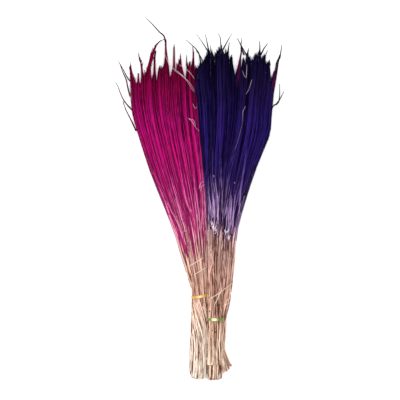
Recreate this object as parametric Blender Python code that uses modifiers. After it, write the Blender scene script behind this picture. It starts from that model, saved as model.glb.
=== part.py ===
"""Dried wheat bouquet: three tied bunches of dyed dried stalks with brush-like heads, lying down.

A magenta bunch and a violet bunch lie side by side, and a second violet bunch lies on both.
Each bunch is a node of natural stalks, a node of dyed heads and a tie band round the stalks.
The stalks run along +Y with the heads at +Y, and the bouquet rests on z = 0.
"""
import bpy
import bmesh
import numpy as np
from math import cos, pi, radians, sin, tan
from random import Random

MM = 0.001
SEED = 4602

# Driving dimensions, in millimetres and degrees. A stalk's ridge is points (share of its pitch,
# depth), and a tuft end's rings are (share of its length, share of its width, depth of crest)
STALK_DIAMETER = 2.7
STALK_SINK = 0.15
STALK_SIDES = 5
STALK_RIDGE = ((-0.5, 1.6), (-0.27, 0.45), (0.0, 0.0), (0.27, 0.45))
STALK_ROW_PITCH = 3.1
CUT_SPREAD = 3.5
SPLAY_START = 60.0
SPLAY_SHORTENING = 1.4
ROOT_SINK = 6.0
ROOT_SPREAD = 3.0
TUFT_VALLEY = 2.8
TUFT_CREST_WAVE = 0.4
TUFT_ROOT_WIDTH = 0.8
TUFT_RINGS = ((-0.1, 0.9, 0.7), (0.3, 0.75, 0.9))
TUFT_LEAN = 0.6
TUFT_SHORTEST = 12.0
TUFT_FALL = 1.35
TUFT_SPREAD = 4.0
PEAK_PULL = 0.75
EVEN_TUFTS_AT = 60.0
INNER_TUFT_RADIUS = 2.1
INNER_TUFT_DEPTH = 7.5
INNER_TUFT_PITCH = 5.5
INNER_TUFT_MIDDLE = 0.4
BRISTLE_DIAMETER = 1.1
BRISTLE_TIP_DIAMETER = 0.7
BAND_WIDTH = 4.8
BAND_THICKNESS = 0.7
BAND_SIDES = 24
BAND_RIM = 1.0
GAP = 0.3
FLOOR_CUT = 0.5

# Each bunch: sections (y, centre x, half width, half height) from the cut ends to the top,
# peaks (x, y) of the tufts, and loose bristles as points (x, y) from root to tip
MAGENTA = dict(
    sections=(
        (-256.0, -3.3, 13.5, 12.0), (-226.0, -1.8, 13.1, 12.0), (-140.0, 1.4, 12.8, 12.0),
        (-130.0, 1.4, 12.8, 12.0), (-111.0, -0.3, 16.4, 13.0), (-68.0, -6.5, 23.2, 14.0),
        (-46.0, -9.9, 26.5, 14.7), (4.0, -19.9, 35.8, 16.5), (46.0, -29.3, 43.2, 18.0),
        (91.0, -38.7, 48.3, 19.5), (135.0, -46.0, 53.2, 20.0), (166.0, -48.0, 53.6, 19.0),
        (190.0, -48.0, 53.6, 18.0)),
    dye_line=-46.0, tie=-135.0, tie_slant=6.0, stalk_count=22, inner_stalks=(13, 8, 3),
    free_foot=30.0, splay=0.0, tuft_count=42, inner_tufts=(15, 8),
    peaks=(
        (-101.0, 199.0), (-89.0, 210.0), (-64.0, 231.0), (-50.5, 240.0), (-38.5, 227.0),
        (-29.5, 210.0), (-20.0, 205.0), (-11.0, 221.0), (-2.0, 192.0)),
    bristles=(
        ((-92.0, 148.0), (-102.0, 158.0), (-110.0, 165.0), (-115.0, 177.0), (-117.6, 206.0)),
        ((-91.0, 127.0), (-104.0, 136.0), (-111.0, 150.0), (-119.0, 165.0), (-122.8, 177.0)),
        ((-86.0, 106.0), (-104.0, 128.0), (-109.0, 138.0), (-111.5, 149.0)),
        ((-60.0, 160.0), (-52.0, 243.0), (-66.0, 252.5), (-77.5, 258.0))),
)
VIOLET_FRONT = dict(
    sections=(
        (-238.0, 20.9, 12.0, 11.0), (-208.0, 21.5, 11.6, 11.0), (-173.0, 22.6, 11.5, 11.0),
        (-163.0, 22.6, 11.5, 11.0), (-83.0, 21.9, 11.2, 11.5), (-32.0, 22.8, 11.5, 12.0),
        (4.0, 23.8, 14.4, 13.0), (48.0, 24.4, 19.3, 14.0), (80.0, 26.2, 24.5, 15.0),
        (143.0, 28.3, 31.8, 16.0), (172.0, 26.5, 33.8, 15.5), (194.0, 26.0, 34.4, 15.0)),
    dye_line=-32.0, tie=-168.0, tie_slant=0.0, stalk_count=20, inner_stalks=(11, 5),
    free_foot=30.0, splay=0.0, tuft_count=32, inner_tufts=(12, 5),
    peaks=(
        (-6.0, 198.0), (2.0, 201.0), (11.0, 218.0), (21.0, 211.0), (31.0, 224.0),
        (41.0, 219.0), (46.0, 210.0), (58.8, 221.0)),
    bristles=(
        ((10.0, 164.0), (13.5, 220.0), (5.5, 233.0), (-5.5, 243.5)),
        ((12.0, 164.0), (15.0, 224.0), (7.7, 244.5)),
        ((30.0, 164.0), (31.0, 226.0), (29.8, 237.5), (25.7, 246.0)),
        ((33.0, 164.0), (34.0, 225.0), (40.9, 235.0), (46.5, 245.0)),
        ((-0.5, 164.0), (0.5, 210.0), (-4.0, 221.0), (-20.2, 236.0)),
        ((56.0, 164.0), (58.8, 221.0), (60.9, 239.0))),
)
VIOLET_BACK = dict(
    sections=(
        (-258.0, 22.2, 11.3, 11.0), (-227.0, 24.2, 11.9, 11.2), (-193.0, 25.3, 11.4, 11.0),
        (-183.0, 25.3, 11.4, 11.0), (-141.0, 30.5, 14.4, 12.0), (-83.0, 34.9, 16.5, 12.8),
        (-45.0, 37.3, 17.5, 13.4), (4.0, 45.7, 21.8, 15.5), (62.0, 58.0, 29.0, 17.2),
        (106.0, 67.4, 36.7, 18.0), (141.0, 70.3, 36.3, 18.0), (170.0, 73.0, 36.8, 17.5),
        (194.0, 75.0, 37.6, 17.0)),
    dye_line=-45.0, tie=-188.0, tie_slant=0.0, stalk_count=20, inner_stalks=(11, 5),
    free_foot=50.0, splay=11.5, tuft_count=34, inner_tufts=(12, 6),
    peaks=(
        (44.0, 197.0), (53.0, 199.0), (63.0, 211.0), (68.5, 220.0), (79.0, 211.0),
        (87.0, 222.0), (96.0, 215.0), (101.0, 205.0), (116.0, 215.0)),
    bristles=(
        ((61.0, 162.0), (64.2, 224.0), (54.8, 240.5)),
        ((66.0, 162.0), (70.0, 221.0), (72.5, 226.5)),
        ((84.0, 162.0), (87.0, 222.0), (87.4, 237.0)),
        ((86.0, 162.0), (90.3, 221.5), (100.3, 232.7)),
        ((106.0, 162.0), (116.3, 215.0), (119.9, 231.0)),
        ((93.0, 124.0), (105.6, 141.5), (114.7, 146.0), (117.0, 174.0)),
        ((94.0, 119.0), (106.6, 140.5), (115.7, 146.0), (122.8, 162.7))),
)
BRISTLE_HEIGHTS = (0.35, -0.05, 0.15, -0.3, 0.0, 0.25, -0.2)


def clear_scene():
    for thing in list(bpy.data.objects):
        bpy.data.objects.remove(thing, do_unlink=True)


def new_collection(name):
    collection = bpy.data.collections.new(name)
    bpy.context.scene.collection.children.link(collection)
    return collection


def principled(name, colour, roughness):
    material = bpy.data.materials.new(name)
    material.use_nodes = True
    shader = material.node_tree.nodes["Principled BSDF"]
    shader.inputs["Base Color"].default_value = (*colour, 1.0)
    shader.inputs["Roughness"].default_value = roughness
    shader.inputs["Metallic"].default_value = 0.0
    material.diffuse_color = (*colour, 1.0)
    return material


class Bunch:
    """One tied bunch: oval sections along y, lifted a little where its band passes under it."""

    def __init__(self, spec):
        self.spec = spec
        self.y, self.x, self.wide, self.high = np.array(spec["sections"]).T
        under_band = np.abs(self.y - spec["tie"]) < 1.5 * BAND_WIDTH
        self.z = self.high + np.where(under_band, BAND_RIM + GAP, -FLOOR_CUT)
        self.head_top = float(self.y[-2])

    def section(self, y):
        columns = (self.x, self.z, self.wide, self.high)
        return [float(np.interp(y, self.y, column)) for column in columns]

    def point(self, y, angle, depth):
        """A point of the section at y, in the direction angle, depth below its rim."""
        x, z, wide, high = self.section(y)
        return (x + (wide - depth) * cos(angle), y, z + (high - depth) * sin(angle))

    def stations(self, start, end):
        inner = [float(y) for y in self.y if start + 1.0 < y < end - 1.0]
        return [start, *inner, end]

    def even_angles(self, y, count):
        """Directions that divide the rim of the section at y into equal lengths."""
        _, _, wide, high = self.section(y)
        turn = np.linspace(0.0, 2 * pi, 721)
        step = np.hypot(np.diff(wide * np.cos(turn)), np.diff(high * np.sin(turn)))
        travelled = np.concatenate(([0.0], np.cumsum(step)))
        wanted = (np.arange(count) + 0.5) / count * travelled[-1]
        return [float(value) for value in np.interp(wanted, travelled, turn)]


def lay_on(upper, lower_bunches):
    """Raise the upper bunch until its sections clear those of the bunches below it."""
    grid = np.arange(upper.y[0], upper.y[-1], 2.0)
    across = np.linspace(-1.0, 1.0, 161)
    ties = [bunch.spec["tie"] for bunch in (upper, *lower_bunches)]
    need = []
    for y in grid:
        x, _, wide, high = upper.section(y)
        xs = x + wide * across
        under = high * np.sqrt(1.0 - across ** 2)
        top = np.zeros_like(xs)
        for bunch in lower_bunches:
            low_x, low_z, low_wide, low_high = bunch.section(y)
            inside = 1.0 - ((xs - low_x) / low_wide) ** 2
            crown = low_z + low_high * np.sqrt(np.clip(inside, 0.0, None))
            top = np.maximum(top, np.where(inside > 0.0, crown, 0.0))
        band = BAND_RIM if min(abs(y - tie) for tie in ties) < BAND_WIDTH else 0.0
        need.append(np.max(top + under) + GAP + band)
    need = np.array(need)
    upper.z = np.interp(upper.y, grid, need)
    for _ in range(100):
        short = need - np.interp(grid, upper.y, upper.z)
        worst = int(np.argmax(short))
        if short[worst] < 0.01:
            break
        after = int(np.clip(np.searchsorted(upper.y, grid[worst]), 1, len(upper.y) - 1))
        upper.z[after - 1:after + 1] += short[worst]


def loft(name, rings, collection):
    """A closed tube through rings of points. A ring of one point closes the tube at its tip."""
    bm = bmesh.new()
    loops = [[bm.verts.new([value * MM for value in point]) for point in ring] for ring in rings]
    for first, second in zip(loops, loops[1:]):
        for i, corner in enumerate(first):
            following = first[(i + 1) % len(first)]
            if len(second) == 1:
                bm.faces.new((corner, following, second[0]))
            else:
                bm.faces.new((corner, following, second[(i + 1) % len(first)], second[i]))
    for loop in (loops[0], loops[-1]):
        if len(loop) > 2:
            bm.faces.new(loop)
    sides = [face for face in bm.faces if len(face.verts) == 4]
    bmesh.ops.triangulate(bm, faces=sides)
    bmesh.ops.recalc_face_normals(bm, faces=bm.faces[:])
    mesh = bpy.data.meshes.new(name)
    bm.to_mesh(mesh)
    bm.free()
    thing = bpy.data.objects.new(name, mesh)
    collection.objects.link(thing)
    return thing


def polygon(centre, radius, sides, turn):
    x, y, z = centre
    angles = [turn + 2 * pi * i / sides for i in range(sides)]
    return [(x + radius * cos(a), y, z + radius * sin(a)) for a in angles]


def ridged_ring(bunch, y, angles, profile):
    """A section whose rim carries one ridge a direction, each with the profile's points."""
    ring = []
    for i, angle in enumerate(angles):
        before = angles[i - 1] - (2 * pi if i == 0 else 0.0)
        after = angles[(i + 1) % len(angles)] + (2 * pi if i == len(angles) - 1 else 0.0)
        for across, depth in profile:
            step = (after - angle) if across > 0.0 else (angle - before)
            ring.append(bunch.point(y, angle + across * step, depth))
    return ring


def fuse(name, body, pieces, floor, material, target):
    """Join the pieces to the body, cut it flat on z = 0 and keep one closed object."""
    join = body.modifiers.new("join", "BOOLEAN")
    join.operation = "UNION"
    join.operand_type = "COLLECTION"
    join.collection = pieces
    join.solver = "EXACT"
    if floor:
        flat = body.modifiers.new("flat underside", "BOOLEAN")
        flat.operation = "DIFFERENCE"
        flat.object = floor
        flat.solver = "EXACT"
    evaluated = body.evaluated_get(bpy.context.evaluated_depsgraph_get())
    mesh = bpy.data.meshes.new_from_object(evaluated)
    mesh.name = name
    for thing in [body, *pieces.objects]:
        bpy.data.objects.remove(thing, do_unlink=True)
    bpy.data.collections.remove(pieces)
    bm = bmesh.new()
    bm.from_mesh(mesh)
    bmesh.ops.triangulate(bm, faces=bm.faces[:])
    bm.to_mesh(mesh)
    bm.free()
    mesh.materials.clear()
    mesh.materials.append(material)
    result = bpy.data.objects.new(name, mesh)
    target.objects.link(result)
    return result


def stalks(name, bunch, rng, material, floor, target):
    """Stalks side by side round the bunch, free at the foot where their cut ends show."""
    spec = bunch.spec
    pieces = new_collection(name + " pieces")
    foot = float(bunch.y[0])
    joined = foot + spec["free_foot"]
    radius = STALK_DIAMETER / 2
    angles = bunch.even_angles(spec["tie"], spec["stalk_count"])
    levels = bunch.stations(joined, spec["dye_line"] - GAP / 2)
    rings = [ridged_ring(bunch, y, angles, STALK_RIDGE) for y in levels]
    body = loft("stalks", rings, target)
    for angle in angles:
        cut = foot + rng.uniform(0.0, CUT_SPREAD)
        root = joined + ROOT_SINK + rng.uniform(0.0, ROOT_SPREAD)
        lean = spec["splay"] * np.interp(cos(angle), (cos(radians(SPLAY_START)), 1.0), (0.0, 1.0))
        ys = [cut, joined - 1.0, root] if lean else [cut, root]
        centres = [bunch.point(y, angle, radius + STALK_SINK) for y in ys]
        x, y, z = centres[0]
        centres[0] = (x + lean, y + SPLAY_SHORTENING * lean, z)
        rings = [polygon(centre, radius, STALK_SIDES, angle) for centre in centres]
        loft("stalk", rings, pieces)
    for row, count in enumerate(spec["inner_stalks"]):
        depth = (row + 1) * STALK_ROW_PITCH + radius
        for i in range(count):
            angle = 2 * pi * (i + rng.uniform(0.3, 0.7)) / count
            cut = foot + rng.uniform(0.0, CUT_SPREAD)
            ys = (cut, joined + ROOT_SINK + rng.uniform(0.0, ROOT_SPREAD))
            rings = [polygon(bunch.point(y, angle, depth), radius, STALK_SIDES, angle) for y in ys]
            loft("inner stalk", rings, pieces)
    return fuse(name, body, pieces, floor, material, target)


def tuft_tip(bunch, angle, depth, rng):
    """The end of a tuft: drawn to the nearest peak, and lower the further it stands from it."""
    x, _, z = bunch.point(float(bunch.y[-1]), angle, depth)
    peak_x, peak_y = min(bunch.spec["peaks"], key=lambda peak: abs(peak[0] - x))
    reach = peak_y - TUFT_FALL * abs(x - peak_x) - rng.uniform(0.0, TUFT_SPREAD)
    centre = bunch.section(bunch.y[-1])[1]
    return (x + PEAK_PULL * (peak_x - x), max(reach, bunch.head_top + TUFT_SHORTEST),
            centre + PEAK_PULL * (z - centre))


def heads(name, bunch, rng, material, floor, target):
    """Dyed tufts side by side round the bunch, which end in free points, with loose bristles."""
    spec = bunch.spec
    pieces = new_collection(name + " pieces")
    top = bunch.head_top
    angles = bunch.even_angles(EVEN_TUFTS_AT, spec["tuft_count"])
    levels = bunch.stations(spec["dye_line"] + GAP / 2, top)
    rings = []
    for y in levels:
        crest = rng.uniform(0.0, TUFT_CREST_WAVE)
        rings.append(ridged_ring(bunch, y, angles, ((-0.5, TUFT_VALLEY), (0.0, crest))))
    body = loft("tufts", rings, target)
    half = TUFT_ROOT_WIDTH * pi / spec["tuft_count"]
    for angle in angles:
        tip = tuft_tip(bunch, angle, 1.0, rng)
        rings = []
        for share, width, depth in TUFT_RINGS:
            y = top + share * (tip[1] - top)
            lean = max(0.0, share) * TUFT_LEAN
            corners = ((0.0, depth), (half * width, TUFT_VALLEY), (-half * width, TUFT_VALLEY))
            ring = [bunch.point(y, angle + turn, sink) for turn, sink in corners]
            shift = [lean * (tip[k] - ring[0][k]) for k in (0, 2)]
            rings.append([(px + shift[0], py, pz + shift[1]) for px, py, pz in ring])
        loft("tuft end", [*rings, [tip]], pieces)
    for row, count in enumerate(spec["inner_tufts"]):
        depth = INNER_TUFT_DEPTH + row * INNER_TUFT_PITCH
        for i in range(count):
            angle = 2 * pi * (i + rng.uniform(0.3, 0.7)) / count
            root = bunch.point(top - ROOT_SINK - rng.uniform(0.0, ROOT_SPREAD), angle, depth)
            tip = tuft_tip(bunch, angle, depth, rng)
            middle = [a + INNER_TUFT_MIDDLE * (b - a) for a, b in zip(root, tip)]
            ring = [polygon(centre, INNER_TUFT_RADIUS, 3, angle) for centre in (root, middle)]
            loft("inner tuft", [*ring, [tip]], pieces)
    for path, height in zip(spec["bristles"], BRISTLE_HEIGHTS):
        rings = []
        for x, y in path:
            _, centre, _, high = bunch.section(y)
            wide = BRISTLE_TIP_DIAMETER if (x, y) == path[-1] else BRISTLE_DIAMETER
            rings.append(polygon((x, y, centre + height * high), 0.58 * wide, 3, pi / 2))
        loft("bristle", rings, pieces)
    return fuse(name, body, pieces, floor, material, target)


def tie_band(name, bunch, material, target):
    """A flat band round the stalks: an open oval tube with its thickness inwards."""
    x, z, wide, high = bunch.section(bunch.spec["tie"])
    bpy.ops.mesh.primitive_cylinder_add(
        vertices=BAND_SIDES, radius=1.0, depth=BAND_WIDTH * MM, end_fill_type="NOTHING",
        location=(x * MM, bunch.spec["tie"] * MM, z * MM), rotation=(pi / 2, 0.0, 0.0))
    band = bpy.context.object
    band.name = name
    band.data.name = name
    slant = radians(bunch.spec["tie_slant"])
    outer = MM / cos(pi / BAND_SIDES)
    slack = 0.5 * BAND_WIDTH * abs(tan(slant))
    band.scale = ((wide + BAND_RIM + slack) * outer, (high + BAND_RIM) * outer, 1.0)
    bpy.ops.object.transform_apply(location=False, rotation=True, scale=True)
    band.rotation_euler = (0.0, 0.0, slant)
    thickness = band.modifiers.new("band thickness", "SOLIDIFY")
    thickness.thickness = BAND_THICKNESS * MM
    thickness.offset = -1.0
    thickness.use_even_offset = True
    band.data.materials.append(material)
    for collection in list(band.users_collection):
        collection.objects.unlink(band)
    target.objects.link(band)
    return band


def floor_cutter(collection):
    """A slab under z = 0 that cuts a flat underside where the bunches lie."""
    bpy.ops.mesh.primitive_cube_add(size=1.0, location=(0.0, 0.0, -10.0 * MM))
    slab = bpy.context.object
    slab.name = "floor_slab"
    slab.scale = (400.0 * MM, 700.0 * MM, 20.0 * MM)
    bpy.ops.object.transform_apply(location=True, rotation=False, scale=True)
    slab.hide_render = True
    slab.display_type = "WIRE"
    for owner in list(slab.users_collection):
        owner.objects.unlink(slab)
    collection.objects.link(slab)
    return slab


def main():
    clear_scene()
    bouquet = new_collection("dried_wheat_bouquet")
    floor = floor_cutter(new_collection("cutters"))
    straw = principled("natural straw", (0.62, 0.42, 0.30), 0.6)
    magenta = principled("magenta dyed bristle", (0.36, 0.004, 0.10), 0.6)
    violet = principled("violet dyed bristle", (0.022, 0.008, 0.10), 0.6)
    yellow = principled("yellow ribbon", (0.85, 0.52, 0.06), 0.3)
    green = principled("green ribbon", (0.14, 0.50, 0.08), 0.3)

    left = Bunch(MAGENTA)
    back = Bunch(VIOLET_BACK)
    front = Bunch(VIOLET_FRONT)
    lay_on(front, (left, back))

    rng = Random(SEED)
    stalks("magenta_stalks", left, rng, straw, floor, bouquet)
    stalks("violet_back_stalks", back, rng, straw, floor, bouquet)
    stalks("violet_front_stalks", front, rng, straw, None, bouquet)
    heads("magenta_heads", left, rng, magenta, floor, bouquet)
    heads("violet_back_heads", back, rng, violet, floor, bouquet)
    heads("violet_front_heads", front, rng, violet, None, bouquet)
    tie_band("yellow_tie", left, yellow, bouquet)
    tie_band("green_tie", front, green, bouquet)
    tie_band("hidden_green_tie", back, green, bouquet)


main()
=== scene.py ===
"""Looks of the dried wheat bouquet: straw stalks, dyed bristle heads, ribbon ties and the stage.

Sizes are in millimetres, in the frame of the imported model, and those of the stage in metres.
"""
from math import cos, pi, radians, sin

import bpy
import numpy as np
from bpy.props import FloatProperty, FloatVectorProperty, IntProperty, PointerProperty
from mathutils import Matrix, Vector


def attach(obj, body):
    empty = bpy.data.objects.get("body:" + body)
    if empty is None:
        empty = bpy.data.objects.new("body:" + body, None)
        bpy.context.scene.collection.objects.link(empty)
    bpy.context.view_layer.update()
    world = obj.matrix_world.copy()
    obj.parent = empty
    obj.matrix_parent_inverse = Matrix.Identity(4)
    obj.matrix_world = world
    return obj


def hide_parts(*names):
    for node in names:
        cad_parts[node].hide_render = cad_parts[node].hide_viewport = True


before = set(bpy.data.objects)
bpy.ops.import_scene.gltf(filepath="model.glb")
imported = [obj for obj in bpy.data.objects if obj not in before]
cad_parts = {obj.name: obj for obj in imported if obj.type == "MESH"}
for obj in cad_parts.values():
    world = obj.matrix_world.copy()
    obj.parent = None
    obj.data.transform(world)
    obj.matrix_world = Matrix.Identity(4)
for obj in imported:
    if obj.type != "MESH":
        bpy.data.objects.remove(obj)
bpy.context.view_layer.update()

bl_info = {
    "name": "Dried Wheat Bouquet",
    "version": (1, 0, 0),
    "blender": (4, 5, 0),
    "location": "3D View > Sidebar > Bouquet",
    "description": "Builds the stalks, dyed heads and ties of a dried wheat bouquet",
    "category": "Object",
}

MM = 0.001
BODY = "root"
GOLDEN_ANGLE = pi * (3 - 5 ** 0.5)
# Added to the seed for the straws and for the loose strands
STRAW_SEED = 10
STRAND_SEED = 20

# The map is made of strips side by side. A strand takes the strip of its tone, in one of its
# variants. After those come special strips, of which every other one has a colour of its own.
MAP_NAME = "OFBake"
TONES = 16
VARIANTS = 16
SPECIAL_STRIPS = 8
STRIPS = TONES * VARIANTS + SPECIAL_STRIPS
KNOT_STRIP = TONES * VARIANTS + 1
CUT_STRIP = TONES * VARIANTS + 3
PITH_STRIP = TONES * VARIANTS + 5
# The scraps' strip is near-white: partly their own colour and partly a painted sheen
SCRAP_SHEEN_STRIP = TONES * VARIANTS + 7
# The heads have no knots, so their stain takes the strip of the knots
STAIN_STRIP = KNOT_STRIP
# Part of a strip that a strand's sides cover, so that nothing shows from the next strip
STRIP_INSET = 0.15
STRIP_WIDTH = 0.7

# Along a strip the map follows y, over the whole bouquet at first and then over the piece alone.
MAP_SPAN = (-262.0, 272.0)
HEAD_SPAN = (-96.0, 272.0)
STRAW_SPAN = (-262.0, 140.0)
LOOSE_SPAN = (-156.0, 220.0)
# Where a marked stretch lies along its strip, and how far an end face reaches from its middle
MARK_V = 0.51
MARK_REACH = 0.01
END_ACROSS = 0.3
END_ALONG = 0.004

# Tones run from 0, dark, to 1, pale. One past either end counts as that end.
# Deep tones are partly darker fibres and partly painted shadow in the gaps between tufts and straws
DEEP_TONES = (-0.05, 0.12)
PALE_TONES = (0.78, 1.0)
# Mottle of a strand: patches of this length, and a new pattern for the next strip
PATCH_LENGTH = 15.7
STRIP_STEP = 3.7
# Where the finish of the violet bunches' straws has its dye line
VIOLET_DYE_LINE = -40.0

# Heads: a head's tufts leave its core free, a tuft holds strands, and a strand holds bristles.
HOLLOW_CORE = 0.5
TUFT_RADIUS = 2.9
STRAND_RADIUS = 0.55
BRISTLES = 4
# How far strands and bristles drift to one side, from this height and over this length
STRAND_DRIFT = 2.0
BRISTLE_DRIFT = 0.5
DRIFT_FROM = 60.0
DRIFT_OVER = 90.0
# Shares of the bristles that stand off from the rest, and that end lower, by up to so much
FLYAWAY_SHARE = 0.04
SHORT_SHARE = 0.3
SHORT_BY = 90.0
# Dips in a head's edge: how many, the gaps between them, and the x where they start
DIPS = 100
DIP_GAPS = (1.5, 3.4)
DIPS_FROM = -124.0
# Half width of a lock's peak, and radii of a whisker at its root and its tip
BLUNT_TIP = 1.1
WHISKER_RADII = (1.15, 0.42)
# Lanes of lighter and darker bristles across a head
LANES = 40

# Loose strands: lowest height that they lie at, gap under them, and how deep their ends go in
LOWEST_BED = 11.0
STRAND_GAP = 0.9
TUCKED_BY = 1.6

# Straws: they twist round the tie over this length, and splay from below it.
TWIST_LENGTH = 90.0
SPLAY_BELOW_TIE = 15.0
SPLAY_OVER = 55.0
# Rings at a knot: the place in the row of rings, and the distance from the knot
KNOT_RINGS = ((-1, -1.3), (0, -0.45), (1, 0.45), (2, 1.3))
KNOT_SWELL = 0.12
BORE_SHARE = 0.6
PITH_DEPTH = 3.0

# Ribbons: they stand off the straws by a gap with ripples in it, and lap over their own start.
RIBBON_GAP = 0.25
RIPPLE_HEIGHT = 0.12
RIPPLES = 21
RIBBON_START = radians(-150)
LAP_TURN = radians(40)
LAP_RISE = 0.35
LAP_GAP = 0.08
END_NARROWING = 0.25
# Section as shares of the thickness and the width, and cells of the noise that draws the lines
RIBBON_SECTION = ((0.0, -0.5), (0.0, 0.0), (0.0, 0.5), (1.0, 0.47), (1.0, 0.0), (1.0, -0.47))
RIBBON_LINES = (9.0, 12.0, 1.0)

# Stage, in metres: softboxes have a place, a size and a power in watts.
CARD_MOTTLE = 0.0025
CARD_SIZE = 8.0
WORLD_STRENGTH = 0.45
SOFTBOXES = (
    ("softbox_over", (0.0, 0.1, 3.2), 0.7, 90.0),
    ("softbox_left", (-1.6, 1.2, 1.8), 1.0, 14.0),
)
BOUQUET_MIDDLE = (0.0, 0.0, 0.02)
FRAME_MIDDLE = (0.0007, 0.0044, 0.03)
FRAME_WIDTH = 0.580
CAMERA_DISTANCE = 2.4
# The camera's own width is in millimetres
SENSOR_WIDTH = 36.0

# Some bundles of strands on top have a negative tone: they are dark strands laid as painted shadow
# along edges and in gaps between straws
# Each bunch has a table of its own.
# sections: y, centre x, centre z, half width and half height, from the cut ends to past the tips
# dye_line: y where the dyed bristles start; root_reach: how far off it each may start
# root_tilt: how much higher they start towards the right side, and towards both sides
# tie, tie_slant: y and tilt in degrees of the ribbon
# twist: degrees that the straws turn about the middle, and where that starts, up from the tie
# stalks, sheaths, tufts, fan_stems: how many there are
# strands: how many each tuft has, for each piece of the head
# ragged, corner, raised: how much higher cut ends are by chance, at the left side and in all
# splay: how far the straws of the right side lean out below the tie
# over_tie: the degrees between which straws pass over the ribbon
# scraps: x, y, width and half length of a patch of torn sheath ends
# tones: middle tone of the bristles, and the shares of deep and of pale ones
# spread, clumped, lanes: how much tones differ by strand, by tuft and across the head
# straw_tone: middle tone of the straws; bleached: share of the fan's stems that are pale
# skyline: along the tips of the head from left to right, from notch to peak to notch
# whiskers: single long bristles; streaks: x points, y points, half width and gain of pale lines
# stain: x points, y points and half width
# faded, trails: bundles of strands on top: tone, number, half width and x, y points
MAGENTA = dict(
    sections=(
        (-256.0, -3.3, 11.5, 13.5, 12.0), (-226.0, -1.8, 11.5, 13.1, 12.0),
        (-140.0, 1.4, 13.3, 12.8, 12.0), (-130.0, 1.4, 13.3, 12.8, 12.0),
        (-111.0, -0.3, 12.5, 16.4, 13.0), (-68.0, -6.5, 13.5, 23.2, 14.0),
        (-46.0, -9.9, 14.2, 26.5, 14.7), (4.0, -19.9, 16.0, 35.8, 16.5),
        (46.0, -29.3, 17.5, 43.2, 18.0), (91.0, -38.7, 19.0, 48.3, 19.5),
        (135.0, -46.0, 19.5, 53.2, 20.0), (166.0, -48.0, 18.5, 53.6, 19.0),
        (190.0, -48.0, 17.5, 53.6, 18.0)),
    dye_line=-46.0, root_reach=(-36.0, 38.0), root_tilt=(-4.0, 18.0),
    tie=-136.0, tie_slant=9.0, stalks=125, twist=(108.0, -78.0), ragged=6.0,
    corner=17.0, raised=0.0, splay=0.0, over_tie=None, sheaths=11, fan_stems=190, tufts=150,
    strands=(5, 4), scraps=None, tones=(0.27, 0.22, 0.22), spread=1.4, clumped=0.28,
    lanes=0.07, straw_tone=0.39, bleached=0.33,
    skyline=(
        (-101, 177), (-101.6, 188), (-102, 199.5), (-99, 197), (-97.5, 187), (-92, 175.5),
        (-89.5, 189.5), (-86.5, 174.5), (-84, 190), (-87.5, 212), (-83.5, 201), (-81.5, 185.5),
        (-76, 196.5), (-72, 215), (-63, 231.5), (-67, 215), (-72, 202.5), (-70, 182),
        (-67, 193), (-67, 210), (-64, 222.5), (-65, 206), (-62.5, 182), (-59.5, 197),
        (-57.5, 198), (-54, 195), (-50.5, 206), (-49.5, 240.5), (-47.5, 214.5), (-44.5, 200),
        (-43, 182.5), (-39, 194.5), (-37, 228), (-36, 207.5), (-35, 193.5), (-30.5, 206),
        (-27.5, 211.5), (-25, 197), (-20.5, 182), (-18.5, 204.5), (-15.5, 199.5), (-14, 206.5),
        (-12.5, 199.5), (-9, 221.5), (-7, 199.5), (-3, 178.5), (0, 187), (5, 173)),
    whiskers=(
        ((-101, 155), (-104, 166), (-107, 180), (-112, 191), (-116, 203), (-118, 207)),
        ((-99, 176), (-104, 181), (-110, 192), (-116, 203)),
        ((-98, 135), (-110, 149), (-115, 159), (-119, 170), (-123, 177)),
        ((-92.5, 105), (-98, 117), (-104, 129), (-108, 137), (-112, 149)),
        ((-50, 236), (-52, 244), (-58, 249), (-66, 258), (-78, 270)),
        ((-64, 229), (-57, 236), (-51, 238)), ((-87, 207), (-89, 219)),
        ((-37, 222), (-37, 232)), ((-28, 208), (-28, 218)), ((-19, 200), (-19, 216)),
        ((-9, 217), (-10, 228)), ((-101, 193), (-100, 206))),
    streaks=(), stain=None,
    pale_and_shadow_bundles=(
        (0.97, 4, 1.3, ((-69.3, 50.5), (-53.8, 19.1), (-44.1, -4.8), (-30.9, -30), (-18.9, -68.6))),
        (0.92, 3, 1.2, ((-30.9, 65), (-23.6, 24.1), (-18.9, 0), (-10.4, -16.8), (-4.5, -50.5))),
        (0.85, 2, 0.8, ((-9.3, 58.9), (-8, 28.9), (-6.8, 0), (-4.5, -14.5), (-0.9, -28.9))),
        (0.8, 11, 4.6, ((5.1, 23.2), (5.1, 4.4), (5.1, -17.4), (3.6, -46.4))),
        (0.62, 2, 0.8, ((-69.3, 84.1), (-64.5, 67.3), (-60.9, 55.0))),
        (0.6, 2, 0.8, ((-60.9, 78.3), (-53.8, 55.2), (-42.8, 26.1))),
        (0.6, 2, 0.8, ((-22.5, 91.4), (-15.2, 58), (-10.9, 26.1))),
        (0.9, 2, 0.7, ((-36.0, 10.0), (-29.0, -12.0), (-21.0, -36.0))),
        (0.72, 7, 1.0, ((-48.5, -10), (-34.8, -46), (-28.2, -68), (-19.5, -95), (-14.0, -115))),
        (1.0, 3, 1.0, ((-9.8, -172), (-10.4, -200), (-10.6, -232))),
        (0.95, 3, 0.9, ((-3.6, -176), (-2.8, -205), (-2.6, -250))),
        (0.95, 3, 0.8, ((10.6, -186), (9.0, -212), (5.4, -242))),
        # The next three bundles are dark strands laid as painted shadow in gaps between the straws at
        # the foot, the middle one along the bunch's right edge
        (-0.4, 2, 0.5, ((-6.4, -186), (-6.3, -212), (-6.1, -250))),
        (-0.6, 5, 0.9, ((10.9, -196), (10.7, -225), (10.4, -256))),
        (-0.5, 2, 0.4, ((-0.4, -190), (0.6, -215), (1.0, -246)))),
    trails=((0.35, 12, 2.6, ((-50, 4.4), (-34, -31.9), (-22.5, -60.9), (-15.2, -84.0))),
            (0.45, 6, 1.6, ((-14, 12.0), (-9, -20.0), (-3.5, -52.0)))),
)
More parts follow.
